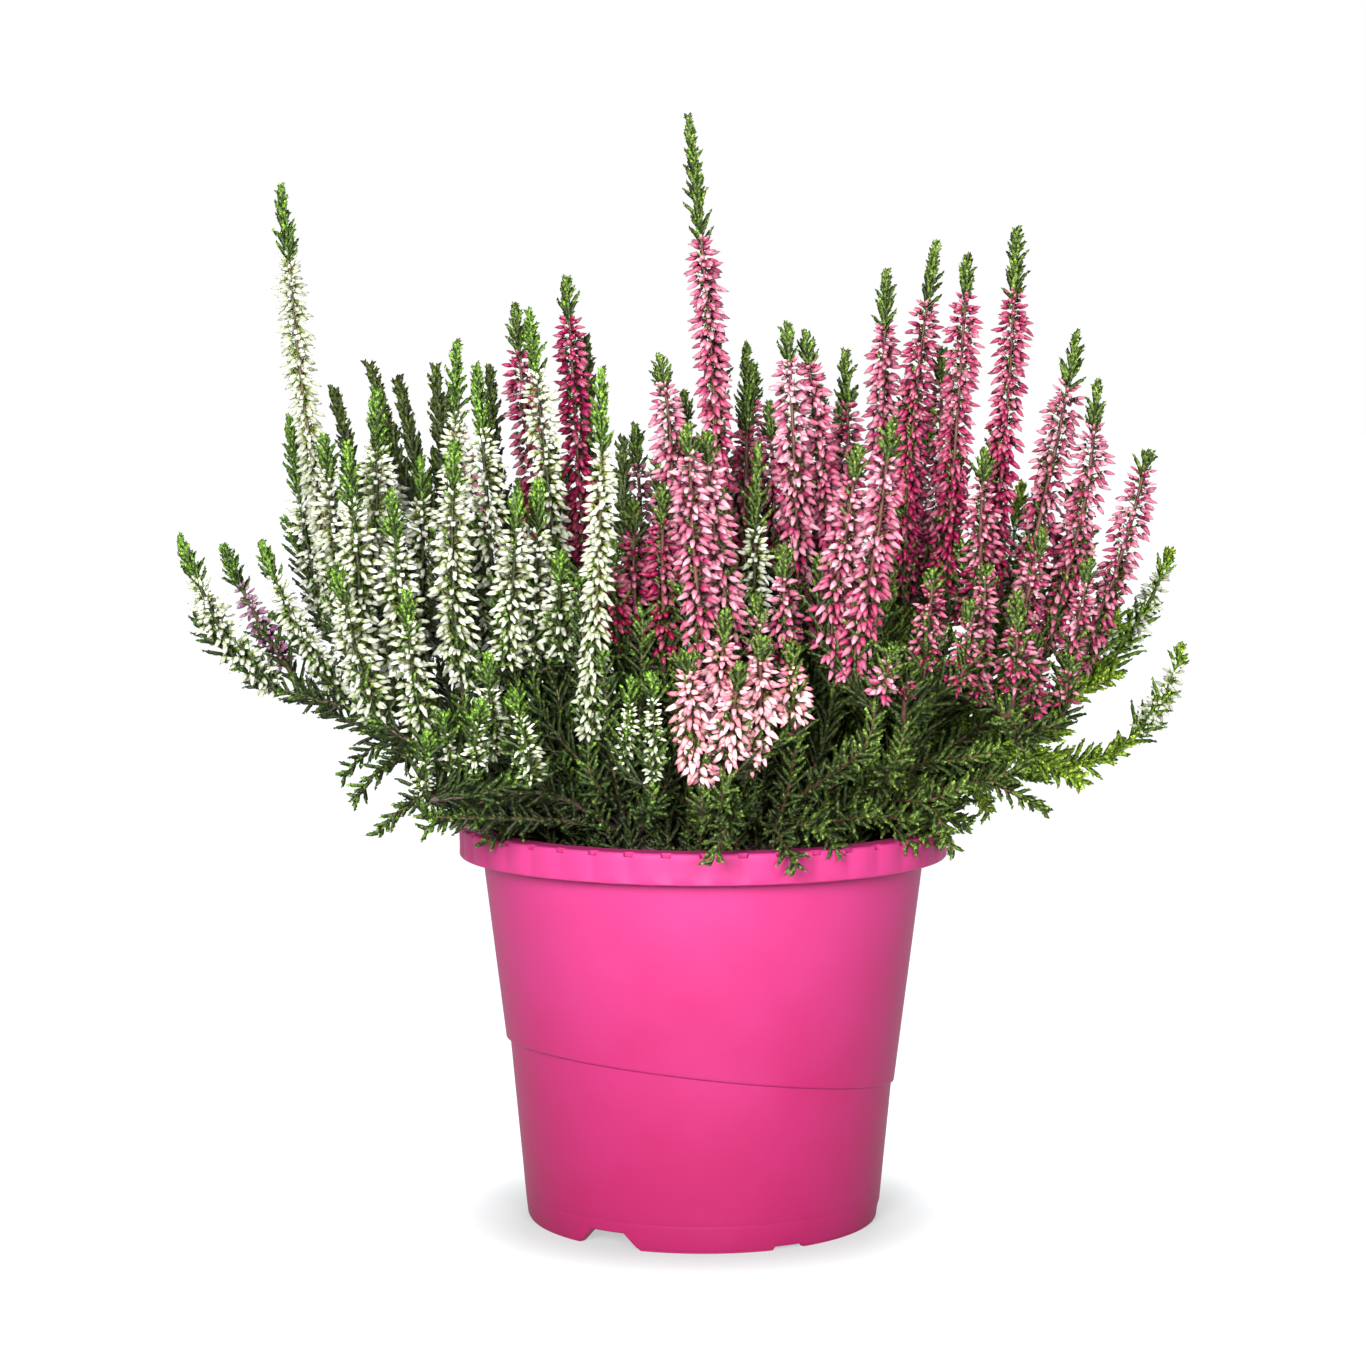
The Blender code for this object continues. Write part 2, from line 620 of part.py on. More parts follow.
def relief_tube(name, path, inner, outer, lift, sides, twist, collection, seat_direction=None):
    """A closed tube along a path whose points stand out in turn, as buds or leafy side shoots.

    It is a UV sphere whose rings are carried to the path's points. Every other point of a ring
    stands out to `outer`, moved along the stem by `lift`, and the rest stay at `inner`. The foot
    is flat. The far end is pointed, or flat and square to `seat_direction` if that is given.
    """
    tip_length = outer[-1] * TIP_POINT if seat_direction is None else 0.0
    rings = len(path)
    tangents, across, along = path_frames(path, seat_direction)
    bm = bmesh.new()
    bmesh.ops.create_uvsphere(bm, u_segments=sides, v_segments=rings + 1, radius=1.0)
    bm.verts.ensure_lookup_table()
    step = math.tau / sides
    ring_verts = [v for v in bm.verts if abs(v.co.z) < 0.9999]
    first = min(math.atan2(v.co.y, v.co.x) % step for v in ring_verts)
    if step - first < 0.001:
        first = 0.0
    low_points = set()
    for vert in bm.verts:
        level = rings - round(math.acos(max(-1.0, min(1.0, vert.co.z))) / math.pi * (rings + 1))
        if level < 0:
            vert.co = Vector(path[0]) * MM
            continue
        if level >= rings:
            vert.co = Vector(path[-1] + tangents[-1] * tip_length) * MM
            continue
        spoke = round((math.atan2(vert.co.y, vert.co.x) - first) / step) % sides
        turn = first + spoke * step + twist * level
        stands_out = (level + spoke) % 2 == 0
        reach = outer[level] if stands_out else inner[level]
        spot = path[level] + reach * (math.cos(turn) * across[level] + math.sin(turn) * along[level])
        if stands_out:
            spot = spot + tangents[level] * lift[level]
        else:
            low_points.add(vert)
        vert.co = Vector(spot) * MM
    for face in [f for f in bm.faces if len(f.verts) == 4]:
        low = [v for v in face.verts if v in low_points]
        if len(low) == 2:
            bmesh.utils.face_split(face, low[0], low[1])
    bmesh.ops.triangulate(bm, faces=bm.faces)
    return object_from_bmesh(name, bm, collection)


class Spike:
    """One flower spike: its path, and how far its florets reach at each point."""

    def __init__(self, points, bare, half_width, green):
        self.path, run = stations_along(smooth_curve(points), bare, FLORET_STEP)
        length = run[-1]
        flowers_end = max(bare + 0.4 * (length - bare), length - green)
        share = np.clip((run - bare) / (flowers_end - bare), 0.0, 1.0)
        reach = half_width * np.interp(share, SWELL_SHARES, SWELL)
        tip_share = np.clip((run - flowers_end) / (length - flowers_end), 0.0, 1.0)
        blooming = run <= flowers_end
        self.outer = np.where(blooming, reach, TIP_REACH * (1.0 - 0.55 * tip_share))
        self.inner = np.where(blooming, reach * FLORET_CORE, TIP_CORE * (1.0 - 0.5 * tip_share))
        self.lift = np.where(blooming, FLORET_DROOP, 1.0)
        stalk = run <= bare
        self.outer[stalk] = TWIG_RADIUS
        self.inner[stalk] = TWIG_RADIUS
        self.lift[stalk] = 0.0
        self.sides = SLENDER_SIDES if half_width < SLENDER_SPIKE else SPIKE_SIDES


def front_spray(spikes, depth_shift):
    """The spikes of a spray from the front table, carried to their depths."""
    made = []
    foot = None
    for tx, tz, mx, mz, bx, bz, tip_depth, base_depth, half_width, green in spikes:
        tip_depth += depth_shift
        base_depth += depth_shift
        base = on_sight(bx, bz, base_depth)
        middle = on_sight(mx, mz, (tip_depth + base_depth) / 2)
        tip = on_sight(tx, tz, tip_depth)
        if foot is None:
            foot = base
            made.append(Spike([base, middle, tip], BARE_FOOT, half_width, green))
        else:
            fork = math.dist(foot, base)
            root = tuple(np.array(foot) + (0.0, 0.0, FORK_HEIGHT + FORK_STEP * len(made)))
            made.append(Spike([root, base, middle, tip], fork, half_width, green))
    return made


def back_spray(x, y, tip_height, count, draw):
    """The spikes of a hidden spray at the back: one main and its side spikes, leaning out."""
    base = np.array((x, y, BACK_BASE_HEIGHT))
    outward = np.array((x, y, 0.0)) / math.hypot(x, y)
    tangential = np.array((-outward[1], outward[0], 0.0))
    made = []
    for k in range(count):
        height = tip_height - BACK_BASE_HEIGHT - BACK_DROPS[k] + draw.uniform(-5.0, 5.0)
        sway = BACK_SWAYS[k] + draw.uniform(-1.5, 1.5)
        tip = base + outward * height * BACK_LEAN + tangential * sway + (0.0, 0.0, height)
        start = base + tangential * sway * 0.8 + (0.0, 0.0, BACK_FORK_RISE)
        middle = (start + tip) / 2 + outward * BACK_BOW
        half_width = BACK_HALF_WIDTH + draw.uniform(-0.5, 0.5)
        if k == 0:
            made.append(Spike([base, middle, tip], BARE_FOOT, half_width, BACK_GREEN_TIP))
        else:
            root = base + (0.0, 0.0, FORK_HEIGHT + FORK_STEP * k)
            fork = math.dist(base, start)
            slimmer = half_width - SIDE_SPIKE_LESS
            made.append(Spike([root, start, middle, tip], fork, slimmer, BACK_GREEN_TIP))
    return made


def is_clear(path, reach, others):
    """True where a run of balls of radius `reach` keeps its clearance from all the others."""
    if not others:
        return True
    spots = np.vstack([o[0] for o in others])
    radii = np.concatenate([o[1] for o in others])
    gaps = np.linalg.norm(path[:, None, :] - spots[None, :, :], axis=2)
    return bool((gaps - reach[:, None] - radii[None, :]).min() > CLEARANCE)


def fine_balls(path, reach):
    """Balls close together along a path, for testing how near it comes to others."""
    run = np.concatenate([[0.0], np.cumsum(np.linalg.norm(np.diff(path, axis=0), axis=1))])
    fine = np.linspace(0.0, run[-1], int(run[-1] / BALL_STEP) + 2)
    spots = np.column_stack([np.interp(fine, run, path[:, axis]) for axis in range(3)])
    return spots, np.interp(fine, run, reach)


def clear_of(spikes, placed):
    """The balls of the spikes if they clear every spray placed so far, or None."""
    balls = [fine_balls(s.path, s.outer) for s in spikes]
    taken = [b for _, _, _, own in placed for b in own]
    if all(is_clear(spots, reach, taken) for spots, reach in balls):
        return balls
    return None


def place_sprays():
    """Every spray with its spikes, each moved until it is clear of those placed before it."""
    draw = np.random.default_rng(7)
    placed = []
    for plant, colour, spikes in SPRAYS:
        for shift in DEPTH_SHIFTS:
            made = front_spray(spikes, shift)
            balls = clear_of(made, placed)
            if balls:
                placed.append((plant, colour, made, balls))
                break
        else:
            raise ValueError("no clear place for a %s spray of %s" % (colour, plant))
    for plant, colour, x, y, tip_height, count in BACK_SPRAYS:
        for out in OUTWARD_SHIFTS:
            made = back_spray(x * out, y * out, tip_height, count, draw)
            balls = clear_of(made, placed)
            if balls:
                placed.append((plant, colour, made, balls))
                break
        else:
            raise ValueError("no clear place for a %s spray at the back of %s" % (colour, plant))
    return placed


def pot_balls():
    """Balls along the pot's rim and over the peat, for keeping twigs clear of them."""
    spots = []
    radii = []
    for turn in np.linspace(0.0, math.tau, 120, endpoint=False):
        for radius in RIM_BALL_CIRCLES:
            spots.append((radius * math.cos(turn), radius * math.sin(turn), RIM_BALL_HEIGHT))
            radii.append(RIM_BALL_RADIUS)
    for x in range(-72, 73, 6):
        for y in range(-72, 73, 6):
            if math.hypot(x, y) < 72:
                spots.append((x, y, PEAT_TOP / MM - PEAT_BALL_DEPTH))
                radii.append(PEAT_BALL_RADIUS)
    return np.array(spots, float), np.array(radii)


def twig_path(crown, seat, direction, rise):
    """A twig from the plant's crown that bends up into the foot of its spike."""
    crown = np.array(crown)
    seat = np.array(seat)
    span = np.linalg.norm(seat - crown)
    leave = crown + (seat - crown) * 0.30 + (0.0, 0.0, rise)
    arrive = seat - direction * min(22.0, span * 0.35)
    crosses_rim = math.hypot(arrive[0], arrive[1]) > OVER_RIM
    arrive[2] = max(arrive[2], RIM_PASS_HEIGHT if crosses_rim else PEAT_PASS_HEIGHT)
    t = np.linspace(0.0, 1.0, 12)[:, None]
    curve = (
        crown * (1 - t) ** 3
        + leave * 3 * t * (1 - t) ** 2
        + arrive * 3 * t * t * (1 - t)
        + seat * t ** 3
    )
    return smooth_curve(curve)


def leaf_room(path, others):
    """How far a leafy shoot may stand out at each point before it meets something else.

    Its point is LEAF_LIFT further up, and its flanks slope down to the twig at the next points.
    """
    spots = np.vstack([o[0] for o in others])
    radii = np.concatenate([o[1] for o in others])
    tangents, _, _ = path_frames(path)
    points = path + tangents * LEAF_LIFT
    room = np.full(len(path), LEAF_REACH)
    for neighbours in (np.roll(path, 1, axis=0), np.roll(path, -1, axis=0)):
        for slope in (0.0, 0.25, 0.5, 0.75):
            samples = points + (neighbours - points) * slope
            gaps = np.linalg.norm(samples[:, None, :] - spots[None, :, :], axis=2) - radii
            free = gaps.min(axis=1) - CLEARANCE
            room = np.minimum(room, (free - slope * LEAF_CORE) / (1.0 - slope))
    return room


def leafy_piece(name, path, seat_direction, others, collection):
    """One twig or shoot, whose leafy side shoots reach as far as there is room for them."""
    share = np.linspace(0.0, 1.0, len(path))
    wanted = np.full(len(path), LEAF_REACH)
    wanted[0] = 0.0
    if seat_direction is None:
        wanted *= np.interp(share, (0.0, 0.75, 1.0), (1.0, 0.9, 0.4))
    else:
        wanted[-1] = 0.0
    outer = np.minimum(wanted, leaf_room(path, others))
    leafy = outer > LEAF_CORE + 0.6
    outer = np.where(leafy, outer, TWIG_RADIUS)
    inner = np.where(leafy, np.minimum(LEAF_CORE, outer * 0.45), TWIG_RADIUS)
    lift = np.where(leafy, LEAF_LIFT, 0.0)
    piece = relief_tube(
        name, path, inner, outer, lift, TWIG_SIDES, LEAF_TWIST, collection, seat_direction
    )
    return piece, fine_balls(path, outer)


def make_leafy_stems(name, crown, paths, others, collection):
    """One plant's woody stem, crown, twigs and leafy shoots, fused into one solid."""
    x, y, z = crown
    bottom = (PEAT_TOP - STEM_HOLE_DEPTH + TOUCH_GAP) / MM
    trunk = np.array([(x, y, bottom), (x, y, (bottom + z) / 2), (x, y, z + 2.0)])
    thick = np.full(len(trunk), STEM_RADIUS / MM)
    level = np.zeros(len(trunk))
    pieces = [relief_tube(name, trunk, thick, thick, level, 6, 0.0, collection)]
    bm = bmesh.new()
    bmesh.ops.create_icosphere(bm, subdivisions=1, radius=CROWN_RADIUS)
    bmesh.ops.transform(bm, matrix=Matrix.Translation(Vector(crown) * MM), verts=bm.verts)
    pieces.append(object_from_bmesh(name + ".crown", bm, collection))
    balls = []
    for k, (path, seat_direction) in enumerate(paths):
        later = [fine_balls(p, np.full(len(p), TWIG_RADIUS + LEAF_SHARE)) for p, _ in paths[k + 1:]]
        near = others + balls + later
        piece, taken = leafy_piece(name + ".twig", path, seat_direction, near, collection)
        pieces.append(piece)
        balls.append(taken)
    fuse(name, pieces, collection, "leafy_stems")
    return balls


def away_from(balls, spot, distance):
    """The balls that lie more than a distance from a spot."""
    spots, reach = balls
    far = np.linalg.norm(spots - spot, axis=1) > distance
    return spots[far], reach[far]


def seat_twig(plant, spikes, own, taken):
    """A clear twig from the plant's crown to just under the foot of the main spike, or None."""
    crown = (*PLANTS[plant], CROWN_HEIGHT)
    main_spike = spikes[0].path
    direction = main_spike[1] - main_spike[0]
    direction = direction / np.linalg.norm(direction)
    seat = main_spike[0] - direction * SEAT_GAP
    own_beyond_foot = [away_from(balls, seat, FOOT_REACH) for balls in own]
    for rise in TWIG_RISES:
        curve = twig_path(crown, seat, direction, rise)
        path, _ = stations_along(curve, curve[1][-1] * TWIG_LEAFY_FROM, LEAF_STEP)
        spots, reach = fine_balls(path, np.full(len(path), TWIG_RADIUS))
        if not is_clear(spots[3:], reach[3:], taken):
            continue
        if is_clear(spots[:-1], reach[:-1], own_beyond_foot):
            return path, direction
    return None


def place_shoot(plant, points, taken):
    """A flowerless shoot's path from the crown, moved aside until its stalk is clear."""
    crown = np.array((*PLANTS[plant], CROWN_HEIGHT))
    for shift in SHOOT_SHIFTS:
        moved = [np.array(point, float) + shift for point in points]
        curve = smooth_curve([crown] + moved)
        path, _ = stations_along(curve, curve[1][-1] * SHOOT_LEAFY_FROM, LEAF_STEP)
        spots, reach = fine_balls(path, np.full(len(path), TWIG_RADIUS + 0.5))
        if is_clear(spots[3:], reach[3:], taken):
            return path, None
    return None


def stalk_balls(paths, plant, extra=0.0):
    """Balls along the bare stalks of every plant but one."""
    return [
        fine_balls(path, np.full(len(path), TWIG_RADIUS + extra))
        for other, own in paths.items()
        if other != plant
        for path, _ in own
    ]


def make_plants(parts):
    """All plants: the leafy stems of each, and a solid for each spray of spikes on them."""
    sprays = place_sprays()
    obstacles = [pot_balls()]
    paths = {plant: [] for plant in PLANTS}
    counts = dict.fromkeys(PLANTS, 0)
    spike_balls = [balls for _, _, _, own in sprays for balls in own]
    for plant, colour, spikes, own in sprays:
        near = [b for _, _, _, group in sprays if group is not own for b in group]
        twig = seat_twig(plant, spikes, own, near + stalk_balls(paths, plant) + obstacles)
        if twig is None:
            raise ValueError("no clear twig for a %s spray of %s" % (colour, plant))
        paths[plant].append(twig)
        counts[plant] += 1
        name = "%s_spikes.%02d" % (plant, counts[plant])
        pieces = [
            relief_tube(name, s.path, s.inner, s.outer, s.lift, s.sides, FLORET_TWIST, parts)
            for s in spikes
        ]
        fuse(name, pieces, parts, colour)
    for plant, points in GREEN_SHOOTS:
        shoot = place_shoot(plant, points, spike_balls + stalk_balls(paths, plant) + obstacles)
        if shoot is None:
            raise ValueError("no clear path for a green shoot of %s" % plant)
        paths[plant].append(shoot)
    drawn = {}
    for plant in PLANTS:
        others = spike_balls + obstacles + [b for balls in drawn.values() for b in balls]
        waiting = {other: own for other, own in paths.items() if other not in drawn}
        others += stalk_balls(waiting, plant, LEAF_SHARE)
        crown = (*PLANTS[plant], CROWN_HEIGHT)
        drawn[plant] = make_leafy_stems(plant + "_leafy_stems", crown, paths[plant], others, parts)


def main():
    remove_all_objects()
    parts = new_collection("potted_heather")
    pot_cutters = new_collection("pot_cutters")
    peat_cutters = new_collection("peat_cutters")
    make_pot(parts, pot_cutters)
    make_peat(parts, peat_cutters)
    make_plants(parts)


main()
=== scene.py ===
"""Potted heather: white and pink bud heathers in a satin pink plastic pot, in a studio."""
import json
import math

import bmesh
import bpy
import numpy as np
from mathutils import Matrix, Vector


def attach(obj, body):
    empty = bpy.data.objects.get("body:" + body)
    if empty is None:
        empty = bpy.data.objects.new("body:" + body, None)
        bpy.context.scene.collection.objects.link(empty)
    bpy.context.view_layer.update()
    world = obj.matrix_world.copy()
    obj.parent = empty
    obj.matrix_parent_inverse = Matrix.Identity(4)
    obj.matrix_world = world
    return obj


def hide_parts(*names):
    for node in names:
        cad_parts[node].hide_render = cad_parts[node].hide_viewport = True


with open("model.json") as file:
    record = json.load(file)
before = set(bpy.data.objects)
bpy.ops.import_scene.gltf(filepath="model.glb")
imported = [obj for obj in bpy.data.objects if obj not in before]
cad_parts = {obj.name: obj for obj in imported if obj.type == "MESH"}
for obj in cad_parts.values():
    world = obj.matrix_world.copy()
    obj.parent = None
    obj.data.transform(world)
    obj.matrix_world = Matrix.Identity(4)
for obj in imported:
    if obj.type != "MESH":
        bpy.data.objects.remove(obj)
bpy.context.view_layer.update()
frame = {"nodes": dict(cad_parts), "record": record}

slot_of = {row["node"]: row["material_slot"] for row in frame["record"]["subparts"]}


# Camera
# It stands at the photo's distance, a little above the flowers' middle, and looks slightly down.
# The lens was fitted to the pot's outline, so the square frame needs no shift.
CAMERA_PLACE = (-0.007, -1.159, 0.280)
CAMERA_DOWN = math.radians(4.62)
LENS = 88.2
SENSOR = 36.0


def placed(name, data):
    """A new object of the scene that holds the data."""
    made = bpy.data.objects.new(name, data)
    bpy.context.scene.collection.objects.link(made)
    return made


camera = placed("camera", bpy.data.cameras.new("camera"))
camera.data.lens = LENS
camera.data.sensor_width = SENSOR
camera.location = CAMERA_PLACE
camera.rotation_euler = (math.radians(90.0) - CAMERA_DOWN, 0.0, 0.0)
bpy.context.scene.camera = camera


# Studio
# A plain white table in a white tent, as for a cut-out product picture. Two softboxes stand in
# front, the left one stronger, both turned to the flowers. Dim lamps hang above and stand behind,
# and the table catches a soft contact shadow, deepened by a painted shadow in its glow.
def linear(colour, alpha=1.0):
    """A colour given as sRGB hex, in the linear values that Blender's sockets take."""
    channels = [int(colour[i:i + 2], 16) / 255 for i in (1, 3, 5)]
    return (*[c / 12.92 if c <= 0.04045 else ((c + 0.055) / 1.055) ** 2.4 for c in channels], alpha)


def new_material(name):
    """A material with only its Principled shader, and that shader."""
    made = bpy.data.materials.new(name)
    made.use_nodes = True
    return made, made.node_tree.nodes["Principled BSDF"]


def add_node(material, kind, inputs=(), **settings):
    """Adds one node. An input is a socket's name or number, with a value or a node's output."""
    made = material.node_tree.nodes.new("ShaderNode" + kind)
    for name, value in settings.items():
        setattr(made, name, value)
    for name, value in dict(inputs).items():
        if isinstance(value, bpy.types.NodeSocket):
            material.node_tree.links.new(value, made.inputs[name])
        else:
            made.inputs[name].default_value = value
    return made


bpy.context.scene.view_settings.view_transform = "Standard"

# The tent is white behind the plant and low round the horizon, and dim elsewhere, so that the
# leaves keep their depth. The edges are shares of the way from the middle to straight behind or up.
BEHIND_EDGES = (0.90, 0.965)
HORIZON_EDGES = (0.04, 0.16)
DIM_TENT = 0.035
tent = bpy.data.worlds.new("white_tent")
tent.use_nodes = True
facing = add_node(tent, "SeparateXYZ", {0: add_node(tent, "TexCoord").outputs["Generated"]})
behind = add_node(tent, "MapRange", {
    0: facing.outputs["Y"], 1: BEHIND_EDGES[0], 2: BEHIND_EDGES[1], 3: DIM_TENT, 4: 1.0,
}, interpolation_type="SMOOTHSTEP")
horizon = add_node(tent, "MapRange", {
    0: facing.outputs["Z"], 1: HORIZON_EDGES[0], 2: HORIZON_EDGES[1], 3: 1.0, 4: 0.0,
}, interpolation_type="SMOOTHSTEP")
white = add_node(tent, "Math", {0: behind.outputs[0], 1: horizon.outputs[0]}, operation="MAXIMUM")
tent_light = tent.node_tree.nodes["Background"]
tent_light.inputs["Color"].default_value = linear("#FFFFFF")
tent.node_tree.links.new(white.outputs[0], tent_light.inputs["Strength"])
bpy.context.scene.world = tent

# Each lamp's place and the point it faces, its width in metres, its power in watts, and how far its
# light fans out in degrees.
LAMPS = {
    "left_softbox": ((-0.26, -1.00, 0.47), (0.0, -0.05, 0.31), 0.36, 3.55, 52.0),
    "right_softbox": ((0.26, -1.00, 0.45), (0.0, -0.05, 0.31), 0.36, 1.85, 52.0),
    "top_lamp": ((0.0, 0.05, 1.15), (0.0, 0.0, 0.2), 0.5, 1.2, 180.0),
    "back_lamp": ((0.1, 1.0, 0.62), (0.0, 0.0, 0.2), 0.5, 0.9, 60.0),
}
for name, (place, aim, width, power, spread) in LAMPS.items():
    lamp = placed(name, bpy.data.lights.new(name, "AREA"))
    lamp.data.size = width
    lamp.data.energy = power
    lamp.data.spread = math.radians(spread)
    lamp.location = place
    lamp.rotation_euler = (Vector(aim) - Vector(place)).to_track_quat("-Z", "Y").to_euler()


def finished_mesh(name, edited):
    """A mesh with what was drawn in an edit mesh, which is freed."""
    made = bpy.data.meshes.new(name)
    edited.to_mesh(made)
    edited.free()
    return made


TABLE_RADIUS = 40.0
bm = bmesh.new()
bmesh.ops.create_circle(bm, cap_ends=True, segments=96, radius=TABLE_RADIUS)
table = placed("table", finished_mesh("table", bm))

# Opal acrylic: matt white, and lit from beneath away from the pot, so that it melts into the tent.
# The light beneath grows from its dim to its full strength between two distances, in metres, so its
# dim ring round the pot's foot is a painted contact shadow.
# painted shadow: the glow is dimmer close round the pot's foot
GLOW_EDGES = (0.055, 0.110)
PAINTED_SHADOW_GLOW = 0.52
GLOW_FULL = 1.06
opal_acrylic, shader = new_material("opal_acrylic")
shader.inputs["Base Color"].default_value = linear("#7A7A7A")
shader.inputs["Roughness"].default_value = 0.9
shader.inputs["Specular IOR Level"].default_value = 0.1
shader.inputs["Emission Color"].default_value = linear("#FAFDFE")
spot = add_node(opal_acrylic, "NewGeometry").outputs["Position"]
away = add_node(opal_acrylic, "VectorMath", {0: spot}, operation="LENGTH").outputs["Value"]
glow = add_node(opal_acrylic, "MapRange", {
    0: away, 1: GLOW_EDGES[0], 2: GLOW_EDGES[1], 3: PAINTED_SHADOW_GLOW, 4: GLOW_FULL,
}, interpolation_type="SMOOTHSTEP")
opal_acrylic.node_tree.links.new(glow.outputs[0], shader.inputs["Emission Strength"])
table.data.materials.append(opal_acrylic)


# Pot
# One injection moulding of pink polypropylene, turned here from its section: a rim band that hangs
# from a narrow shelf, a body with a slanting step line, and a hollow foot with drainage notches.
MM = 0.001
RIM_TOP = 137.6
RIM_RADIUS = 85.0
MOUTH_RADIUS = 75.5
BAND_HEIGHT = 10.5
BAND_WALL = 1.4
SHOULDER_RADIUS = 77.8
SHELF_THICKNESS = 2.0
STEP_HEIGHT = 54.8
STEP_RISE = 9.4
STEP_HIGH_SIDE = math.radians(-55.0)
STEP_OUTER = 67.7
STEP_INNER = 66.6
FOOT_RADIUS = 61.4
FOOT_RING = 3.0
FLOOR_TOP = 7.2
FLOOR_UNDERSIDE = 5.7
FLOOR_RADIUS = 60.6
INNER_BEND = (65.4, 66.0)
MOULD_LINE_DEPTH = 0.035

DENTS = 42
DENT_HALF_ANGLE = 1.45 / RIM_RADIUS
DENT_FLANK = 0.28 / RIM_RADIUS
DENT_DEPTH = 1.5
DENT_REACH = 2.3
FLUTE_DEPTH = 0.70

# Foot openings: the turn of the first of three, its half width at the table and above, its height.
FOOT_OPENINGS = (
    (math.radians(-32.0), 12.2, 6.3, 5.6),
    (math.radians(28.0), 6.0, 5.2, 1.4),
)

# How much the wall's radius grows with each millimetre of height, above the step and below it.
UPPER_SLOPE = (SHOULDER_RADIUS - STEP_OUTER) / (RIM_TOP - SHELF_THICKNESS - STEP_HEIGHT)
LOWER_SLOPE = (STEP_INNER - FOOT_RADIUS) / STEP_HEIGHT


def pot_section():
    """Half the pot's section as (radius, height, part), from the floor's edge up, over and down."""
    band_foot = RIM_TOP - BAND_HEIGHT
    shelf = RIM_TOP - SHELF_THICKNESS
    rows = [
        (FLOOR_RADIUS - 2.5, FLOOR_TOP - 0.7, "inside"),
        (FLOOR_RADIUS - 1.0, FLOOR_TOP + 0.1, "inside"),
        (FLOOR_RADIUS, FLOOR_TOP + 1.2, "inside"),
        (*INNER_BEND, "inside"),
        (72.0, 112.0, "inside"),
        (MOUTH_RADIUS - 0.25, RIM_TOP - 1.4, "inside"),
        (MOUTH_RADIUS + 0.05, RIM_TOP - 0.45, "inside"),
        (MOUTH_RADIUS + 0.6, RIM_TOP, "inside"),
        (78.5, RIM_TOP, "inside"),
        (RIM_RADIUS - DENT_REACH, RIM_TOP, "inside"),
        (RIM_RADIUS - DENT_REACH + 0.3, RIM_TOP, "rim"),
        (RIM_RADIUS - 1.0, RIM_TOP, "rim"),
        (RIM_RADIUS - 0.45, RIM_TOP - 0.12, "rim"),
        (RIM_RADIUS - 0.12, RIM_TOP - 0.45, "rim"),
        (RIM_RADIUS, RIM_TOP - 1.0, "rim"),
        (RIM_RADIUS, RIM_TOP - 2.4, "band"),
        (RIM_RADIUS - 0.05, RIM_TOP - 4.5, "band"),
        (RIM_RADIUS - 0.15, RIM_TOP - 7.5, "band"),
        (RIM_RADIUS - 0.25, band_foot + 0.5, "outside"),
        (RIM_RADIUS - 0.55, band_foot + 0.1, "outside"),
        (RIM_RADIUS - 0.9, band_foot, "outside"),
        (RIM_RADIUS - BAND_WALL - 0.1, band_foot + 0.3, "outside"),
        (RIM_RADIUS - BAND_WALL, shelf - 0.6, "outside"),
        (RIM_RADIUS - BAND_WALL - 0.5, shelf, "outside"),
        (SHOULDER_RADIUS + 0.4, shelf, "outside"),
        (SHOULDER_RADIUS - 0.1, shelf - 0.6, "outside"),
    ]
    for share in (0.2, 0.4, 0.6, 0.8):
        rows.append((
            SHOULDER_RADIUS + (STEP_OUTER - SHOULDER_RADIUS) * share,
            shelf + (STEP_HEIGHT - shelf) * share,
            "above",
        ))
    # the step: a rounded lower corner, then the wall set back under it
    rows += [(STEP_OUTER + up * UPPER_SLOPE, STEP_HEIGHT + up, "step") for up in (3.5, 1.4, 0.7)]
    rows += [
        (STEP_OUTER - 0.08, STEP_HEIGHT + 0.25, "step"),
        (STEP_OUTER - 0.45, STEP_HEIGHT - 0.05, "step"),
        (STEP_INNER + 0.15, STEP_HEIGHT - 0.10, "step"),
        (STEP_INNER, STEP_HEIGHT - 0.30, "under"),
    ]
    rows += [(STEP_INNER - down * LOWER_SLOPE, STEP_HEIGHT - down, "under") for down in (1.0, 3.5)]
    # the mould's parting line: a hair-fine groove low on the wall
    for height, sunk in (
        (38.0, 0.0), (24.0, 0.0), (11.0, 0.0), (9.7, 0.0), (9.6, 1.0),
        (9.4, 1.0), (9.3, 0.0), (8.2, 0.0), (6.0, 0.0),
    ):
        radius = FOOT_RADIUS + height * LOWER_SLOPE - sunk * MOULD_LINE_DEPTH
        rows.append((radius, height, "outside"))
    rows += [
        (FOOT_RADIUS + 0.05, 1.6, "foot"),
        (FOOT_RADIUS - 0.1, 1.0, "foot"),
        (FOOT_RADIUS - 0.55, 0.9, "foot"),
        (FOOT_RADIUS - 0.6, 0.15, "foot"),
        (FOOT_RADIUS - 0.8, 0.0, "foot"),
        (FOOT_RADIUS - FOOT_RING + 0.4, 0.0, "foot"),
        (FOOT_RADIUS - FOOT_RING, 0.4, "foot"),
        (FOOT_RADIUS - FOOT_RING, FLOOR_UNDERSIDE - 0.1, "outside"),
    ]
    return rows


def pot_turns():
    """The angles of the pot's columns: close together at the flanks of each dent and opening."""
    turns = set()
    period = math.tau / DENTS
    for k in range(DENTS):
        for edge in (DENT_HALF_ANGLE, DENT_HALF_ANGLE + DENT_FLANK, 0.36 * period):
            turns.update((k * period - edge, k * period + edge))
        turns.update((k * period, (k + 0.5) * period))
    for first, low, high, _ in FOOT_OPENINGS:
        for k in range(3):
            middle = first + k * math.tau / 3
            for edge in (low / FOOT_RADIUS, high / FOOT_RADIUS):
                turns.update((middle - edge, middle + edge))
    return sorted({round(turn % math.tau, 5) for turn in turns})


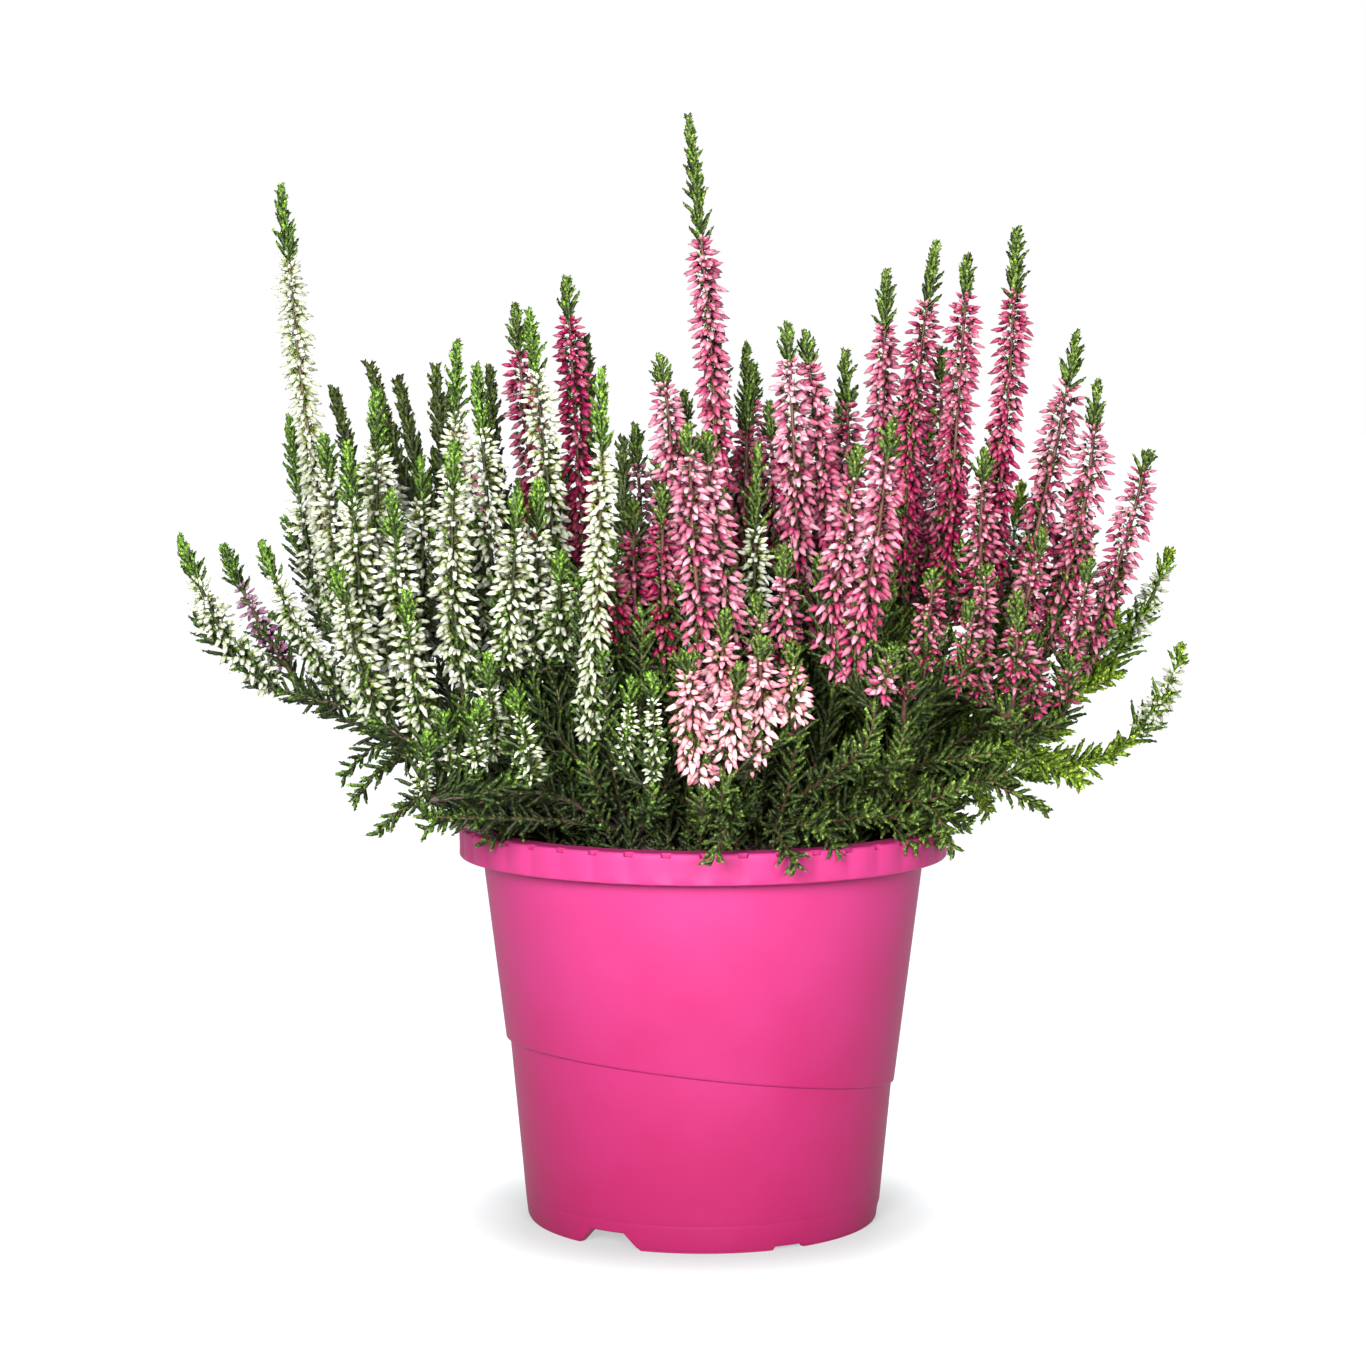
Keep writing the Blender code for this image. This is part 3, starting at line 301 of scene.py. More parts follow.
def dent_share(turn):
    """1 inside a rim dent, 0 outside it, with steep flanks between."""
    period = math.tau / DENTS
    away = abs((turn + period / 2) % period - period / 2)
    return min(1.0, max(0.0, (DENT_HALF_ANGLE + DENT_FLANK - away) / DENT_FLANK))


def foot_lift(turn, height):
    """How high the foot's lower edge stands at an angle."""
    for first, low, high, top in FOOT_OPENINGS:
        third = math.tau / 3
        away = abs((turn - first + third / 2) % third - third / 2) * FOOT_RADIUS
        if away < low + 0.01:
            height = max(height, top * min(1.0, (low - away) / (low - high) + 0.02))
    return height


def pot_point(turn, radius, height, part):
    """A point of the pot's surface, in metres. Angles run from the front towards the right."""
    if part == "rim":
        height = min(height, RIM_TOP - DENT_DEPTH * dent_share(turn))
    if part in ("rim", "band"):
        radius -= FLUTE_DEPTH * (1.0 - abs(math.sin(turn * DENTS / 2)))
    if part in ("above", "step", "under"):
        share = 1.0
        if part == "above":
            share = (RIM_TOP - height) / (RIM_TOP - STEP_HEIGHT)
        rise = STEP_RISE * math.cos(turn - STEP_HIGH_SIDE) * share
        radius += rise * (LOWER_SLOPE if part == "under" else UPPER_SLOPE)
        height += rise
    if part == "foot":
        height = foot_lift(turn, height)
    return (radius * MM * math.sin(turn), -radius * MM * math.cos(turn), height * MM)


section = pot_section()
turns = pot_turns()
bm = bmesh.new()
grid = [[bm.verts.new(pot_point(turn, *row)) for row in section] for turn in turns]
for here, there in zip(grid, grid[1:] + grid[:1]):
    for j in range(len(section)):
        k = (j + 1) % len(section)
        bm.faces.new((here[j], here[k], there[k], there[j]))
bmesh.ops.recalc_face_normals(bm, faces=bm.faces)
pot = placed("pot_shell", finished_mesh("pot_shell", bm))
pot.data.shade_smooth()
pot.data.set_sharp_from_angle(angle=math.radians(38.0))

# The floor is a flat plate with four drain holes, moulded in one with the wall.
DRAIN_HOLES = 4
DRAIN_RADIUS = 4.5
DRAIN_CIRCLE = 40.0
outline = bpy.data.curves.new("pot_floor", "CURVE")
outline.dimensions = "2D"
outline.fill_mode = "BOTH"
outline.extrude = (FLOOR_TOP - FLOOR_UNDERSIDE) / 2 * MM
rings = [(0.0, 0.0, FLOOR_RADIUS - 1.2, 96)]
for k in range(DRAIN_HOLES):
    turn = (k + 0.5) * math.tau / DRAIN_HOLES
    rings.append((DRAIN_CIRCLE * math.cos(turn), DRAIN_CIRCLE * math.sin(turn), DRAIN_RADIUS, 32))
for x, y, radius, steps in rings:
    spline = outline.splines.new("POLY")
    spline.points.add(steps - 1)
    for k, point in enumerate(spline.points):
        turn = k * math.tau / steps
        point.co = (
            (x + radius * math.cos(turn)) * MM, (y + radius * math.sin(turn)) * MM, 0.0, 1.0,
        )
    spline.use_cyclic_u = True
flat = placed("pot_floor_outline", outline)
floor_mesh = bpy.data.meshes.new_from_object(
    flat.evaluated_get(bpy.context.evaluated_depsgraph_get())
)
bpy.data.objects.remove(flat)
floor_mesh.transform(Matrix.Translation((0.0, 0.0, (FLOOR_TOP + FLOOR_UNDERSIDE) / 2 * MM)))
pot_floor = placed("pot_floor", floor_mesh)

# Polypropylene, injection moulded against a polished tool: a satin skin with a soft wide
# highlight. Its colour is painted paler towards the mouth, as a painted highlight. Its tone drifts over
# about 35 mm, and its grain is drawn at about 1 mm, coarser than the real one, so that it shows.
polypropylene, shader = new_material("pink_polypropylene")
place = add_node(polypropylene, "TexCoord").outputs["Object"]
cloud = add_node(polypropylene, "TexNoise", {"Vector": place, "Scale": 28.0, "Detail": 3.0})
height = add_node(polypropylene, "SeparateXYZ", {0: place}).outputs["Z"]
# painted highlight: the pink grows paler up the wall towards the mouth
painted_highlight_up_wall = add_node(polypropylene, "MapRange", {0: height, 1: 0.02, 2: 0.13}).outputs[0]
share = add_node(polypropylene, "Math", {0: painted_highlight_up_wall, 1: cloud.outputs[0]}, operation="ADD")
share = add_node(polypropylene, "Math", {
    0: share.outputs[0], 1: 0.5,
}, operation="SUBTRACT", use_clamp=True)
pink = add_node(polypropylene, "Mix", {
    0: share.outputs[0], 6: linear("#871A49"), 7: linear("#90285A"),
}, data_type="RGBA")
polypropylene.node_tree.links.new(pink.outputs[2], shader.inputs["Base Color"])
grain = add_node(polypropylene, "TexNoise", {"Vector": place, "Scale": 900.0, "Detail": 2.0})
gloss = add_node(polypropylene, "MapRange", {0: cloud.outputs[0], 3: 0.47, 4: 0.54})
polypropylene.node_tree.links.new(gloss.outputs[0], shader.inputs["Roughness"])
skin = add_node(polypropylene, "Bump", {
    "Height": grain.outputs[0], "Strength": 0.05, "Distance": 0.0002,
})
polypropylene.node_tree.links.new(skin.outputs[0], shader.inputs["Normal"])
shader.inputs["IOR"].default_value = 1.49
shader.inputs["Specular IOR Level"].default_value = 0.1
for piece in (pot, pot_floor):
    piece.data.materials.clear()
    piece.data.materials.append(polypropylene)
    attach(piece, "root")
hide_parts("pot")


# Root ball
# Damp peat pressed to the pot's shape, with a crumbly top a finger's width under the rim. Crumbs
# of peat lie on it between the stems.
PEAT_TOP = 126.0
PEAT_EDGE = 73.4
PEAT_RINGS = 46
PEAT_SPOKES = 120
CRUMBS = 360
draw = np.random.default_rng(11)


def wavy(x, y, seed):
    """A smooth uneven height between about -1 and 1, as a sum of a few seeded waves."""
    waves = np.random.default_rng(seed)
    total = 0.0
    for size in (26.0, 13.0, 7.0, 3.6):
        turn, shift = waves.uniform(0.0, math.tau, 2)
        along = x * math.cos(turn) + y * math.sin(turn)
        across = y * math.cos(turn) - x * math.sin(turn)
        total = total + np.sin(along * math.tau / size + shift) * np.cos(across * 4.7 / size) * size
    return total / 40.0


bm = bmesh.new()
rings = []
for k in range(PEAT_RINGS):
    radius = PEAT_EDGE * ((k + 1) / PEAT_RINGS) ** 0.8
    ring = []
    for j in range(PEAT_SPOKES):
        turn = j * math.tau / PEAT_SPOKES
        x, y = radius * math.cos(turn), radius * math.sin(turn)
        height = PEAT_TOP - 0.4 + 0.9 * wavy(x, y, 3) + draw.uniform(-0.25, 0.25)
        ring.append(bm.verts.new((x * MM, y * MM, height * MM)))
    rings.append(ring)
for radius, height in ((73.2, 121.0), (64.6, 66.0), (60.0, 7.6)):
    rings.append([
        bm.verts.new((
            radius * math.cos(j * math.tau / PEAT_SPOKES) * MM,
            radius * math.sin(j * math.tau / PEAT_SPOKES) * MM,
            height * MM,
        ))
        for j in range(PEAT_SPOKES)
    ])
for inner, outer in zip(rings, rings[1:]):
    for j in range(PEAT_SPOKES):
        k = (j + 1) % PEAT_SPOKES
        bm.faces.new((inner[j], outer[j], outer[k], inner[k]))
bm.faces.new(rings[0])
bm.faces.new(rings[-1][::-1])
for _ in range(CRUMBS):
    turn, radius = draw.uniform(0.0, math.tau), 72.0 * math.sqrt(draw.uniform())
    size = draw.uniform(0.6, 1.9)
    spot = Vector((radius * math.cos(turn), radius * math.sin(turn), PEAT_TOP + 0.3 * size)) * MM
    crumb = bmesh.ops.create_icosphere(bm, subdivisions=1, radius=size * MM)["verts"]
    spin = Matrix.Rotation(draw.uniform(0.0, 3.0), 4, Vector(draw.normal(size=3)))
    flatten = Matrix.Diagonal((1.0, draw.uniform(0.6, 1.0), draw.uniform(0.45, 0.9), 1.0))
    bmesh.ops.transform(bm, matrix=Matrix.Translation(spot) @ spin @ flatten, verts=crumb)
    for vert in crumb:
        vert.co += Vector(draw.normal(size=3)) * size * 0.12 * MM
bmesh.ops.recalc_face_normals(bm, faces=bm.faces)
peat = placed("peat", finished_mesh("peat", bm))

# Damp peat, milled and pressed: nearly black where wet and brown where the crumbs have dried,
# in patches of about 11 mm, with a rough fibrous grain of about 0.7 mm.
damp_peat, shader = new_material("damp_peat")
place = add_node(damp_peat, "TexCoord").outputs["Object"]
patches = add_node(damp_peat, "TexNoise", {"Vector": place, "Scale": 90.0, "Detail": 5.0})
brown = add_node(damp_peat, "Mix", {
    0: patches.outputs[0], 6: linear("#17100B"), 7: linear("#4A3423"),
}, data_type="RGBA")
damp_peat.node_tree.links.new(brown.outputs[2], shader.inputs["Base Color"])
fibres = add_node(damp_peat, "TexNoise", {"Vector": place, "Scale": 1400.0, "Detail": 4.0})
rough = add_node(damp_peat, "Bump", {
    "Height": fibres.outputs[0], "Strength": 0.7, "Distance": 0.0005,
})
damp_peat.node_tree.links.new(rough.outputs[0], shader.inputs["Normal"])
shader.inputs["Roughness"].default_value = 0.92
peat.data.materials.append(damp_peat)
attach(peat, "root")
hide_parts("peat_root_ball")


# Stems and leafy shoots
# Seven young woody plants stand in the peat, each on a short trunk that forks near the peat. A fork
# carries a flower spray or ends as a green shoot. Side shoots full of tiny scale leaves clothe it.


# Young bark is smooth and green near the growing tip, then reddish brown, and grey brown with
# cracks where the stem is old, drawn about 1.4 mm apart so that they show. "along" runs from the
# old end to the tip.
def bark(name, old, middle, young):
    """The bark of one kind of heather, from its three colours."""
    made, shader = new_material(name)
    along, tone = (
        add_node(made, "Attribute", attribute_name=value).outputs["Fac"]
        for value in ("along", "tone")
    )
    place = add_node(made, "TexCoord").outputs["Object"]
    cracks = add_node(made, "TexNoise", {"Vector": place, "Scale": 700.0, "Detail": 3.0}).outputs[0]
    colour = linear(old)
    for low, high, younger in ((0.05, 0.45, middle), (0.62, 0.95, young)):
        share = add_node(made, "MapRange", {
            0: along, 1: low, 2: high,
        }, interpolation_type="SMOOTHSTEP").outputs[0]
        colour = add_node(made, "Mix", {
            0: share, 6: colour, 7: linear(younger),
        }, data_type="RGBA").outputs[2]
    shade = add_node(made, "MapRange", {0: cracks, 3: 0.72, 4: 1.2}).outputs[0]
    lift = add_node(made, "Math", {0: shade, 1: tone}, operation="MULTIPLY").outputs[0]
    final = add_node(made, "HueSaturation", {"Color": colour, "Value": lift}).outputs[0]
    made.node_tree.links.new(final, shader.inputs["Base Color"])
    ridges = add_node(made, "Bump", {"Height": cracks, "Strength": 0.4, "Distance": 0.0003})
    made.node_tree.links.new(ridges.outputs[0], shader.inputs["Normal"])
    shader.inputs["Roughness"].default_value = 0.7
    return made


# Scale leaves are thick and waxy: dark at the stem, fresh green at the tip, with a soft sheen.
# "along" runs up a leaf, "age" is 0 on old wood and 1 at the growing point. The cells draw the
# overlapping scales, about 1.3 mm each, in the bump, and in the colour as painted shade: darker in
# the gaps between them and paler at their middles.
def leaf(name, old, grown, fresh):
    """The leaves of one kind of heather, from their three colours."""
    made, shader = new_material(name)
    along, age, tone = (
        add_node(made, "Attribute", attribute_name=value).outputs["Fac"]
        for value in ("along", "age", "tone")
    )
    colour = linear(old)
    for low, high, younger in ((0.0, 0.62, grown), (0.55, 1.0, fresh)):
        share = add_node(made, "MapRange", {
            0: age, 1: low, 2: high,
        }, interpolation_type="SMOOTHSTEP").outputs[0]
        colour = add_node(made, "Mix", {
            0: share, 6: colour, 7: linear(younger),
        }, data_type="RGBA").outputs[2]
    tip_light = add_node(made, "MapRange", {0: along, 3: 0.84, 4: 1.12}).outputs[0]
    lift = add_node(made, "Math", {0: tip_light, 1: tone}, operation="MULTIPLY").outputs[0]
    place = add_node(made, "TexCoord").outputs["Object"]
    scales = add_node(made, "TexVoronoi", {"Vector": place, "Scale": 760.0}).outputs["Distance"]
    # painted shade: the colour darkens in the gaps between scales and pales at their middles
    gaps = add_node(made, "MapRange", {0: scales, 1: 0.1, 2: 0.7, 3: 1.6, 4: 0.3}).outputs[0]
    lift = add_node(made, "Math", {0: lift, 1: gaps}, operation="MULTIPLY").outputs[0]
    final = add_node(made, "HueSaturation", {"Color": colour, "Value": lift}).outputs[0]
    made.node_tree.links.new(final, shader.inputs["Base Color"])
    relief = add_node(made, "Bump", {"Height": gaps, "Strength": 0.5, "Distance": 0.0003})
    made.node_tree.links.new(relief.outputs[0], shader.inputs["Normal"])
    shader.inputs["Roughness"].default_value = 0.55
    shader.inputs["Specular IOR Level"].default_value = 0.2
    return made


BARKS = {
    "white": bark("bark_of_white_heather", "#2B1B12", "#4A3A1E", "#4C5A27"),
    "pink": bark("bark_of_pink_heather", "#2D1812", "#481C13", "#401A1E"),
}
LEAVES = {
    "white": leaf("leaf_of_white_heather", "#121803", "#2F4013", "#638829"),
    "pink": leaf("leaf_of_pink_heather", "#111603", "#2F3D12", "#5E772A"),
    "dark": leaf("leaf_of_dark_shoots", "#191E08", "#2E3A10", "#47541C"),
    "young": leaf("leaf_of_young_sprays", "#212D06", "#527219", "#97B236"),
}


# Each small organ is a copy of a few-sided form, and each copy carries its own age and tone, which
# the materials read.
class Growth:
    """Collects the organs of one plant piece, in mm, and makes one mesh of them."""

    def __init__(self):
        self.points = []
        self.triangles = []
        self.skins = []
        self.values = {"along": [], "age": [], "tone": []}
        self.count = 0
        self.materials = []

    def add(self, points, triangles, material, along, age, tone):
        """Adds organs: along, age and tone are one value or one for each point."""
        if material not in self.materials:
            self.materials.append(material)
        self.points.append(points)
        self.triangles.append(triangles + self.count)
        self.skins.append(np.full(len(triangles), self.materials.index(material)))
        for name, value in (("along", along), ("age", age), ("tone", tone)):
            self.values[name].append(np.broadcast_to(value, len(points)))
        self.count += len(points)

    def scatter(self, form, material, places, directions, lengths, widths, age, tone):
        """Adds a copy of a form for each place, with its +Z along the direction."""
        points, triangles = form
        up = unit(directions)
        side = perpendicular(up)
        other = np.cross(up, side)
        across = side[:, None] * points[None, :, :1] + other[:, None] * points[None, :, 1:2]
        rise = up[:, None] * points[None, :, 2:] * np.asarray(lengths)[:, None, None]
        moved = places[:, None] + across * np.asarray(widths)[:, None, None] + rise
        shifts = np.arange(len(places)) * len(points)
        self.add(
            moved.reshape(-1, 3),
            (triangles[None] + shifts[:, None, None]).reshape(-1, 3),
            material,
            np.tile(points[:, 2], len(places)),
            np.repeat(np.broadcast_to(age, len(places)), len(points)),
            np.repeat(np.broadcast_to(tone, len(places)), len(points)),
        )

    def build(self, name, node):
        """Makes the finished piece, which stands for a node of the frame."""
        mesh = bpy.data.meshes.new(name)
        points = np.concatenate(self.points) * MM
        mesh.from_pydata(points.tolist(), [], np.concatenate(self.triangles).tolist())
        mesh.polygons.foreach_set("material_index", np.concatenate(self.skins).astype(np.int32))
        for value_name, runs in self.values.items():
            held = mesh.attributes.new(value_name, "FLOAT", "POINT")
            held.data.foreach_set("value", np.concatenate(runs).astype(np.float32))
        for material in self.materials:
            mesh.materials.append(material)
        mesh.shade_smooth()
        piece = placed(name, mesh)
        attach(piece, "root")
        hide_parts(node)


def unit(vectors):
    """The vectors at length 1."""
    return vectors / np.maximum(np.linalg.norm(vectors, axis=-1, keepdims=True), 1e-9)


def perpendicular(directions):
    """A unit vector at right angles to each direction."""
    steep = np.abs(directions[:, 1:2]) > 0.85
    helper = np.where(steep, (1.0, 0.0, 0.0), (0.0, 1.0, 0.0))
    return unit(np.cross(helper, directions))


def turned(directions, turns):
    """Unit vectors at right angles to the directions, turned round them by the turns."""
    side = perpendicular(directions)
    other = np.cross(directions, side)
    return side * np.cos(turns)[:, None] + other * np.sin(turns)[:, None]


def spindle(sides, rings):
    """A pointed form along +Z, one long and open below, with points round each (height, radius)."""
    points = []
    triangles = []
    for height, radius in rings:
        for k in range(sides):
            turn = (k + 0.5) * math.tau / sides
            points.append((radius * math.cos(turn), radius * math.sin(turn), height))
    tip = len(points)
    points.append((0.0, 0.0, 1.0))
    for k in range(sides):
        n = (k + 1) % sides
        for level in range(len(rings) - 1):
            a, b = level * sides + k, level * sides + n
            triangles += [(a, b, b + sides), (a, b + sides, a + sides)]
        triangles.append((tip - sides + k, tip - sides + n, tip))
    return np.array(points), np.array(triangles)


AWL = spindle(3, [(0.0, 0.5)])
SHOOT = spindle(3, [(0.0, 0.42), (0.8, 0.46)])


def tube(growth, path, radii, material, along, age, tone, sides):
    """A round stem along a path, pointed at its far end."""
    tangents, across, around = carried_frames(path)
    turn = np.arange(sides) * math.tau / sides
    ring = across[:, None] * np.cos(turn)[None, :, None]
    ring = ring + around[:, None] * np.sin(turn)[None, :, None]
    points = (path[:, None] + ring * np.asarray(radii)[:, None, None]).reshape(-1, 3)
    points = np.vstack([points, path[:1], path[-1:] + tangents[-1:] * radii[-1]])
    triangles = []
    for level in range(len(path) - 1):
        for k in range(sides):
            n = (k + 1) % sides
            a, b = level * sides + k, level * sides + n
            triangles += [(a, b, b + sides), (a, b + sides, a + sides)]
    foot, tip = len(points) - 2, len(points) - 1
    for k in range(sides):
        n = (k + 1) % sides
        triangles += [(foot, n, k), (tip, tip - 1 - sides + k, tip - 1 - sides + n)]
    spread = np.concatenate([np.repeat(along, sides), [along[0], along[-1]]])
    growth.add(points, np.array(triangles), material, spread, age, tone)


def carried_frames(path):
    """Tangent and two side directions along a path, carried without twisting."""
    tangents = unit(np.gradient(path, axis=0))
    side = np.cross((0.0, 1.0, 0.0), tangents[0])
    sides = []
    for tangent in tangents:
        side = side - tangent * np.dot(side, tangent)
        side = side / np.linalg.norm(side)
        sides.append(side)
    sides = np.array(sides)
    return tangents, sides, np.cross(tangents, sides)


def run_along(path):
    """The distance from the path's start to each of its points."""
    return np.concatenate([[0.0], np.cumsum(np.linalg.norm(np.diff(path, axis=0), axis=1))])


def at_run(path, marks):
    """Points at given distances along a path."""
    run = run_along(path)
    return np.column_stack([np.interp(marks, run, path[:, axis]) for axis in range(3)])


def smooth_curve(points):
    """A Catmull-Rom curve through the points, drawn closely."""
    pts = np.array(points, float)
    pts = np.vstack([2 * pts[0] - pts[1], pts, 2 * pts[-1] - pts[-2]])
    dense = []
    for a, b, c, d in zip(pts, pts[1:], pts[2:], pts[3:]):
        for t in np.linspace(0.0, 1.0, 16, endpoint=False):
            bend = (2 * a - 5 * b + 4 * c - d) * t * t + (3 * b - a - 3 * c + d) * t ** 3
            dense.append(0.5 * (2 * b + (c - a) * t + bend))
    dense.append(pts[-2])
    return np.array(dense)


# The spikes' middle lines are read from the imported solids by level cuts, in mm: the step from one cut
# to the next, how near two cuts of one spike lie, the shortest spike, and how near the spray's root
# a spike's foot lies when it grows straight out of it.
LEVEL_STEP = 2.6
SAME_SPIKE = 6.5
SHORTEST_SPIKE = 14.0
ROOT_REACH = 12.0


def node_triangles(node):
    """The corners of a node's triangles, in mm."""
    mesh = frame["nodes"][node].data
    mesh.calc_loop_triangles()
    places = np.empty(len(mesh.vertices) * 3, np.float32)
    mesh.vertices.foreach_get("co", places)
    corners = np.empty(len(mesh.loop_triangles) * 3, np.int32)
    mesh.loop_triangles.foreach_get("vertices", corners)
    return (places.reshape(-1, 3)[corners.reshape(-1, 3)] / MM).astype(float)


def cut_at(triangles, height):
    """(middle, length) of each closed outline that a level plane cuts from a solid."""
    side = triangles[:, :, 2] - height
    outlines = []
    for corners in triangles[(side.min(1) < 0) & (side.max(1) >= 0)]:
        ends = []
        for a, b in ((0, 1), (1, 2), (2, 0)):
            low, high = sorted((tuple(corners[a]), tuple(corners[b])), key=lambda p: (p[2], p))
            if low[2] < height <= high[2]:
                share = (height - low[2]) / (high[2] - low[2])
                ends.append(tuple(l + (h - l) * share for l, h in zip(low, high)))
        piece = (set(ends), [(np.add(*ends) / 2, math.dist(*ends))])
        for met in [o for o in outlines if o[0] & piece[0]]:
            outlines.remove(met)
            piece = (piece[0] | met[0], piece[1] + met[1])
        outlines.append(piece)
    made = []
    for _, runs in outlines:
        weight = sum(length for _, length in runs)
        made.append((sum(middle * length for middle, length in runs) / max(weight, 1e-9), weight))
    return made


def spike_lines(node):
    """The middle lines of a node's spikes, foot first, from level cuts followed down each tip."""
    triangles = node_triangles(node)
    top, foot = triangles[:, :, 2].max(), triangles[:, :, 2].min()
    lines = []
    for height in np.arange(top - 0.8, foot + 0.2, -LEVEL_STEP):
        outlines = sorted(cut_at(triangles, height), key=lambda o: -o[1])
        for line in lines:
            near = [o for o in outlines if math.dist(o[0][:2], line[-1][:2]) < SAME_SPIKE]
            if near and line[-1][2] - height < LEVEL_STEP * 2.2:
                line.append(near[0][0])
        for middle, _ in outlines:
            if all(math.dist(middle[:2], line[-1][:2]) > SAME_SPIKE for line in lines):
                lines.append([middle])
    lowest = triangles.reshape(-1, 3)
    root = lowest[lowest[:, 2] < foot + 0.6].mean(axis=0)
    kept = []
    for line in lines:
        line = np.array(line[::-1])
        if line[-1][2] - line[0][2] < SHORTEST_SPIKE:
            continue
        if math.dist(line[0], root) < ROOT_REACH:
            line = np.vstack([root, line])
        tip = line[-1] - unit(line[-1] - line[-3]) * 0.4
        padded = np.vstack([line[0], line[0], line, tip, tip])
        smooth = padded[:-4] + padded[1:-3] * 2 + padded[2:-2] * 3 + padded[3:-1] * 2 + padded[4:]
        smooth = smooth / 9
        kept.append(np.vstack([line[:1], smooth[1:], tip]))
    return sorted(kept, key=lambda line: line[-1][0])


def spike_reach(lines, node):
    """How far each spike's relief stands out from its middle line."""
    points = np.unique(node_triangles(node).reshape(-1, 3), axis=0)
    gaps = []
    for line in lines:
        middle = at_run(line, np.linspace(0.0, run_along(line)[-1], 60))
        gaps.append(np.linalg.norm(points[:, None] - middle, axis=2).min(1))
    gaps = np.array(gaps)
    nearest = gaps.argmin(axis=0)
    return [float(np.percentile(gaps[k][nearest == k], 88)) for k in range(len(lines))]


# How high twigs and shoots pass at the least, in mm: over the peat, and over the pot's rim once they
# are further from the pot's axis than its mouth.
OVER_PEAT = 134.0
TWIG_OVER_RIM = 146.0
SHOOT_OVER_RIM = 143.0
TWIG_MOUTH = 62.0
SHOOT_MOUTH = 66.0


def fork_path(crown, root, heading):
    """A twig's curve from its crown to the root of a spray, in mm."""
    crown, root = np.array(crown, float), np.array(root, float)
    span = math.dist(crown, root)
    leave = crown + (root - crown) * 0.30 + (0.0, 0.0, 10.0)
    arrive = root - heading * min(22.0, span * 0.35)
    outside = math.hypot(*arrive[:2]) > TWIG_MOUTH
    arrive[2] = max(arrive[2], TWIG_OVER_RIM if outside else OVER_PEAT)
    t = np.linspace(0.0, 1.0, 18)[:, None]
    return (
        crown * (1 - t) ** 3 + leave * 3 * t * (1 - t) ** 2
        + arrive * 3 * t * t * (1 - t) + root * t ** 3
    )


def side_shoots(path, first, last, spacing, spread, draw):
    """Side shoots round a stem between two shares of its length: feet, headings and shares."""
    total = run_along(path)[-1]
    marks = np.arange(first * total, last * total, spacing)
    marks = marks + draw.uniform(-0.45, 0.45, len(marks)) * spacing
    feet = at_run(path, marks)
    along = unit(at_run(path, marks + 1.5) - at_run(path, marks - 1.5) + (0.0, 0.0, 1e-6))
    turns = np.arange(len(marks)) * 2.4 + draw.uniform(-0.5, 0.5, len(marks))
    lean = np.radians(draw.normal(spread, 9.0, len(marks)))[:, None]
    return feet, along * np.cos(lean) + turned(along, turns) * np.sin(lean), marks / total


# How much a side shoot turns up along its length.
SHOOT_LIFT = 0.24


def leafy(growth, leaf_skin, feet, headings, lengths, ages, leaves, leaf_size, draw):
    """Many side shoots at once, each a slim body under pairs of scale leaves that close its tip."""
    count = len(feet)
    headings = unit(headings)
    share = (np.arange(leaves) + 0.6) / leaves
    out = share[None, :, None] * lengths[:, None, None]
    rise = np.array((0.0, 0.0, SHOOT_LIFT))
    places = feet[:, None] + headings[:, None] * out + rise * out * share[None, :, None] * 0.5
    along = unit(headings[:, None] + rise * share[None, :, None])
    places = places.reshape(-1, 3)
    along = along.reshape(-1, 3)
    pairs = np.arange(leaves) * math.pi + (np.arange(leaves) // 2) * math.pi / 2
    turns = (pairs[None] + draw.uniform(0.0, math.tau, count)[:, None]).reshape(-1)
    lean = np.radians(np.tile(np.interp(share, (0.0, 0.75, 1.0), (40.0, 36.0, 18.0)), count))
    lean = (lean + draw.normal(0.0, 0.14, len(lean)))[:, None]
    size = np.tile(np.interp(share, (0.0, 0.6, 1.0), (1.0, 1.0, 0.75)), count)
    size = size * leaf_size * draw.uniform(0.8, 1.2, len(size))
    tone = np.repeat(draw.uniform(0.72, 1.2, count), leaves) * draw.uniform(0.85, 1.12, len(size))
    age = np.repeat(ages, leaves) * 0.6 + np.tile(share, count) * 0.35 + 0.08
    heading = along * np.cos(lean) + turned(along, turns) * np.sin(lean)
    growth.scatter(AWL, leaf_skin, places, heading, size, size * 1.05, age, tone)
    # the body that the overlapping leaves build up
    tips = headings + rise * 0.5
    bodies = np.linalg.norm(tips, axis=1) * lengths * 0.96
    thick = np.full(count, leaf_size * 1.15)
    growth.scatter(SHOOT, leaf_skin, feet, tips, bodies, thick, ages * 0.6 + 0.12, 0.85)


def plume(growth, leaf_skin, path, span, spacing, spread, sizes, leaves, leaf_size, ages, draw):
    """A feathery shoot: side shoots round a stem between two shares of its length."""
    feet, headings, shares = side_shoots(path, *span, spacing, spread, draw)
    if len(feet):
        up = (shares - span[0]) / (span[1] - span[0])
        lengths = np.interp(up, np.linspace(0.0, 1.0, len(sizes)), sizes)
        lengths = lengths * draw.uniform(0.78, 1.2, len(up))
        ages = np.clip(np.interp(up, (0.0, 1.0), ages) + draw.normal(0.0, 0.12, len(up)), 0.0, 1.0)
        leafy(growth, leaf_skin, feet, headings, lengths, ages, leaves, leaf_size, draw)


CROWN_HEIGHT = 141.0
CROWN_RADIUS = 5.4
TRUNK_RADIUS = 3.1
CROWNS = {
    "white_left": (-46.0, -10.0), "white_front": (-24.0, -46.0),
    "pink_back_left": (-30.0, 34.0), "pink_front": (20.0, -46.0),
    "pink_back": (8.0, 44.0), "pink_right": (52.0, -12.0), "white_right": (46.0, 30.0),
}

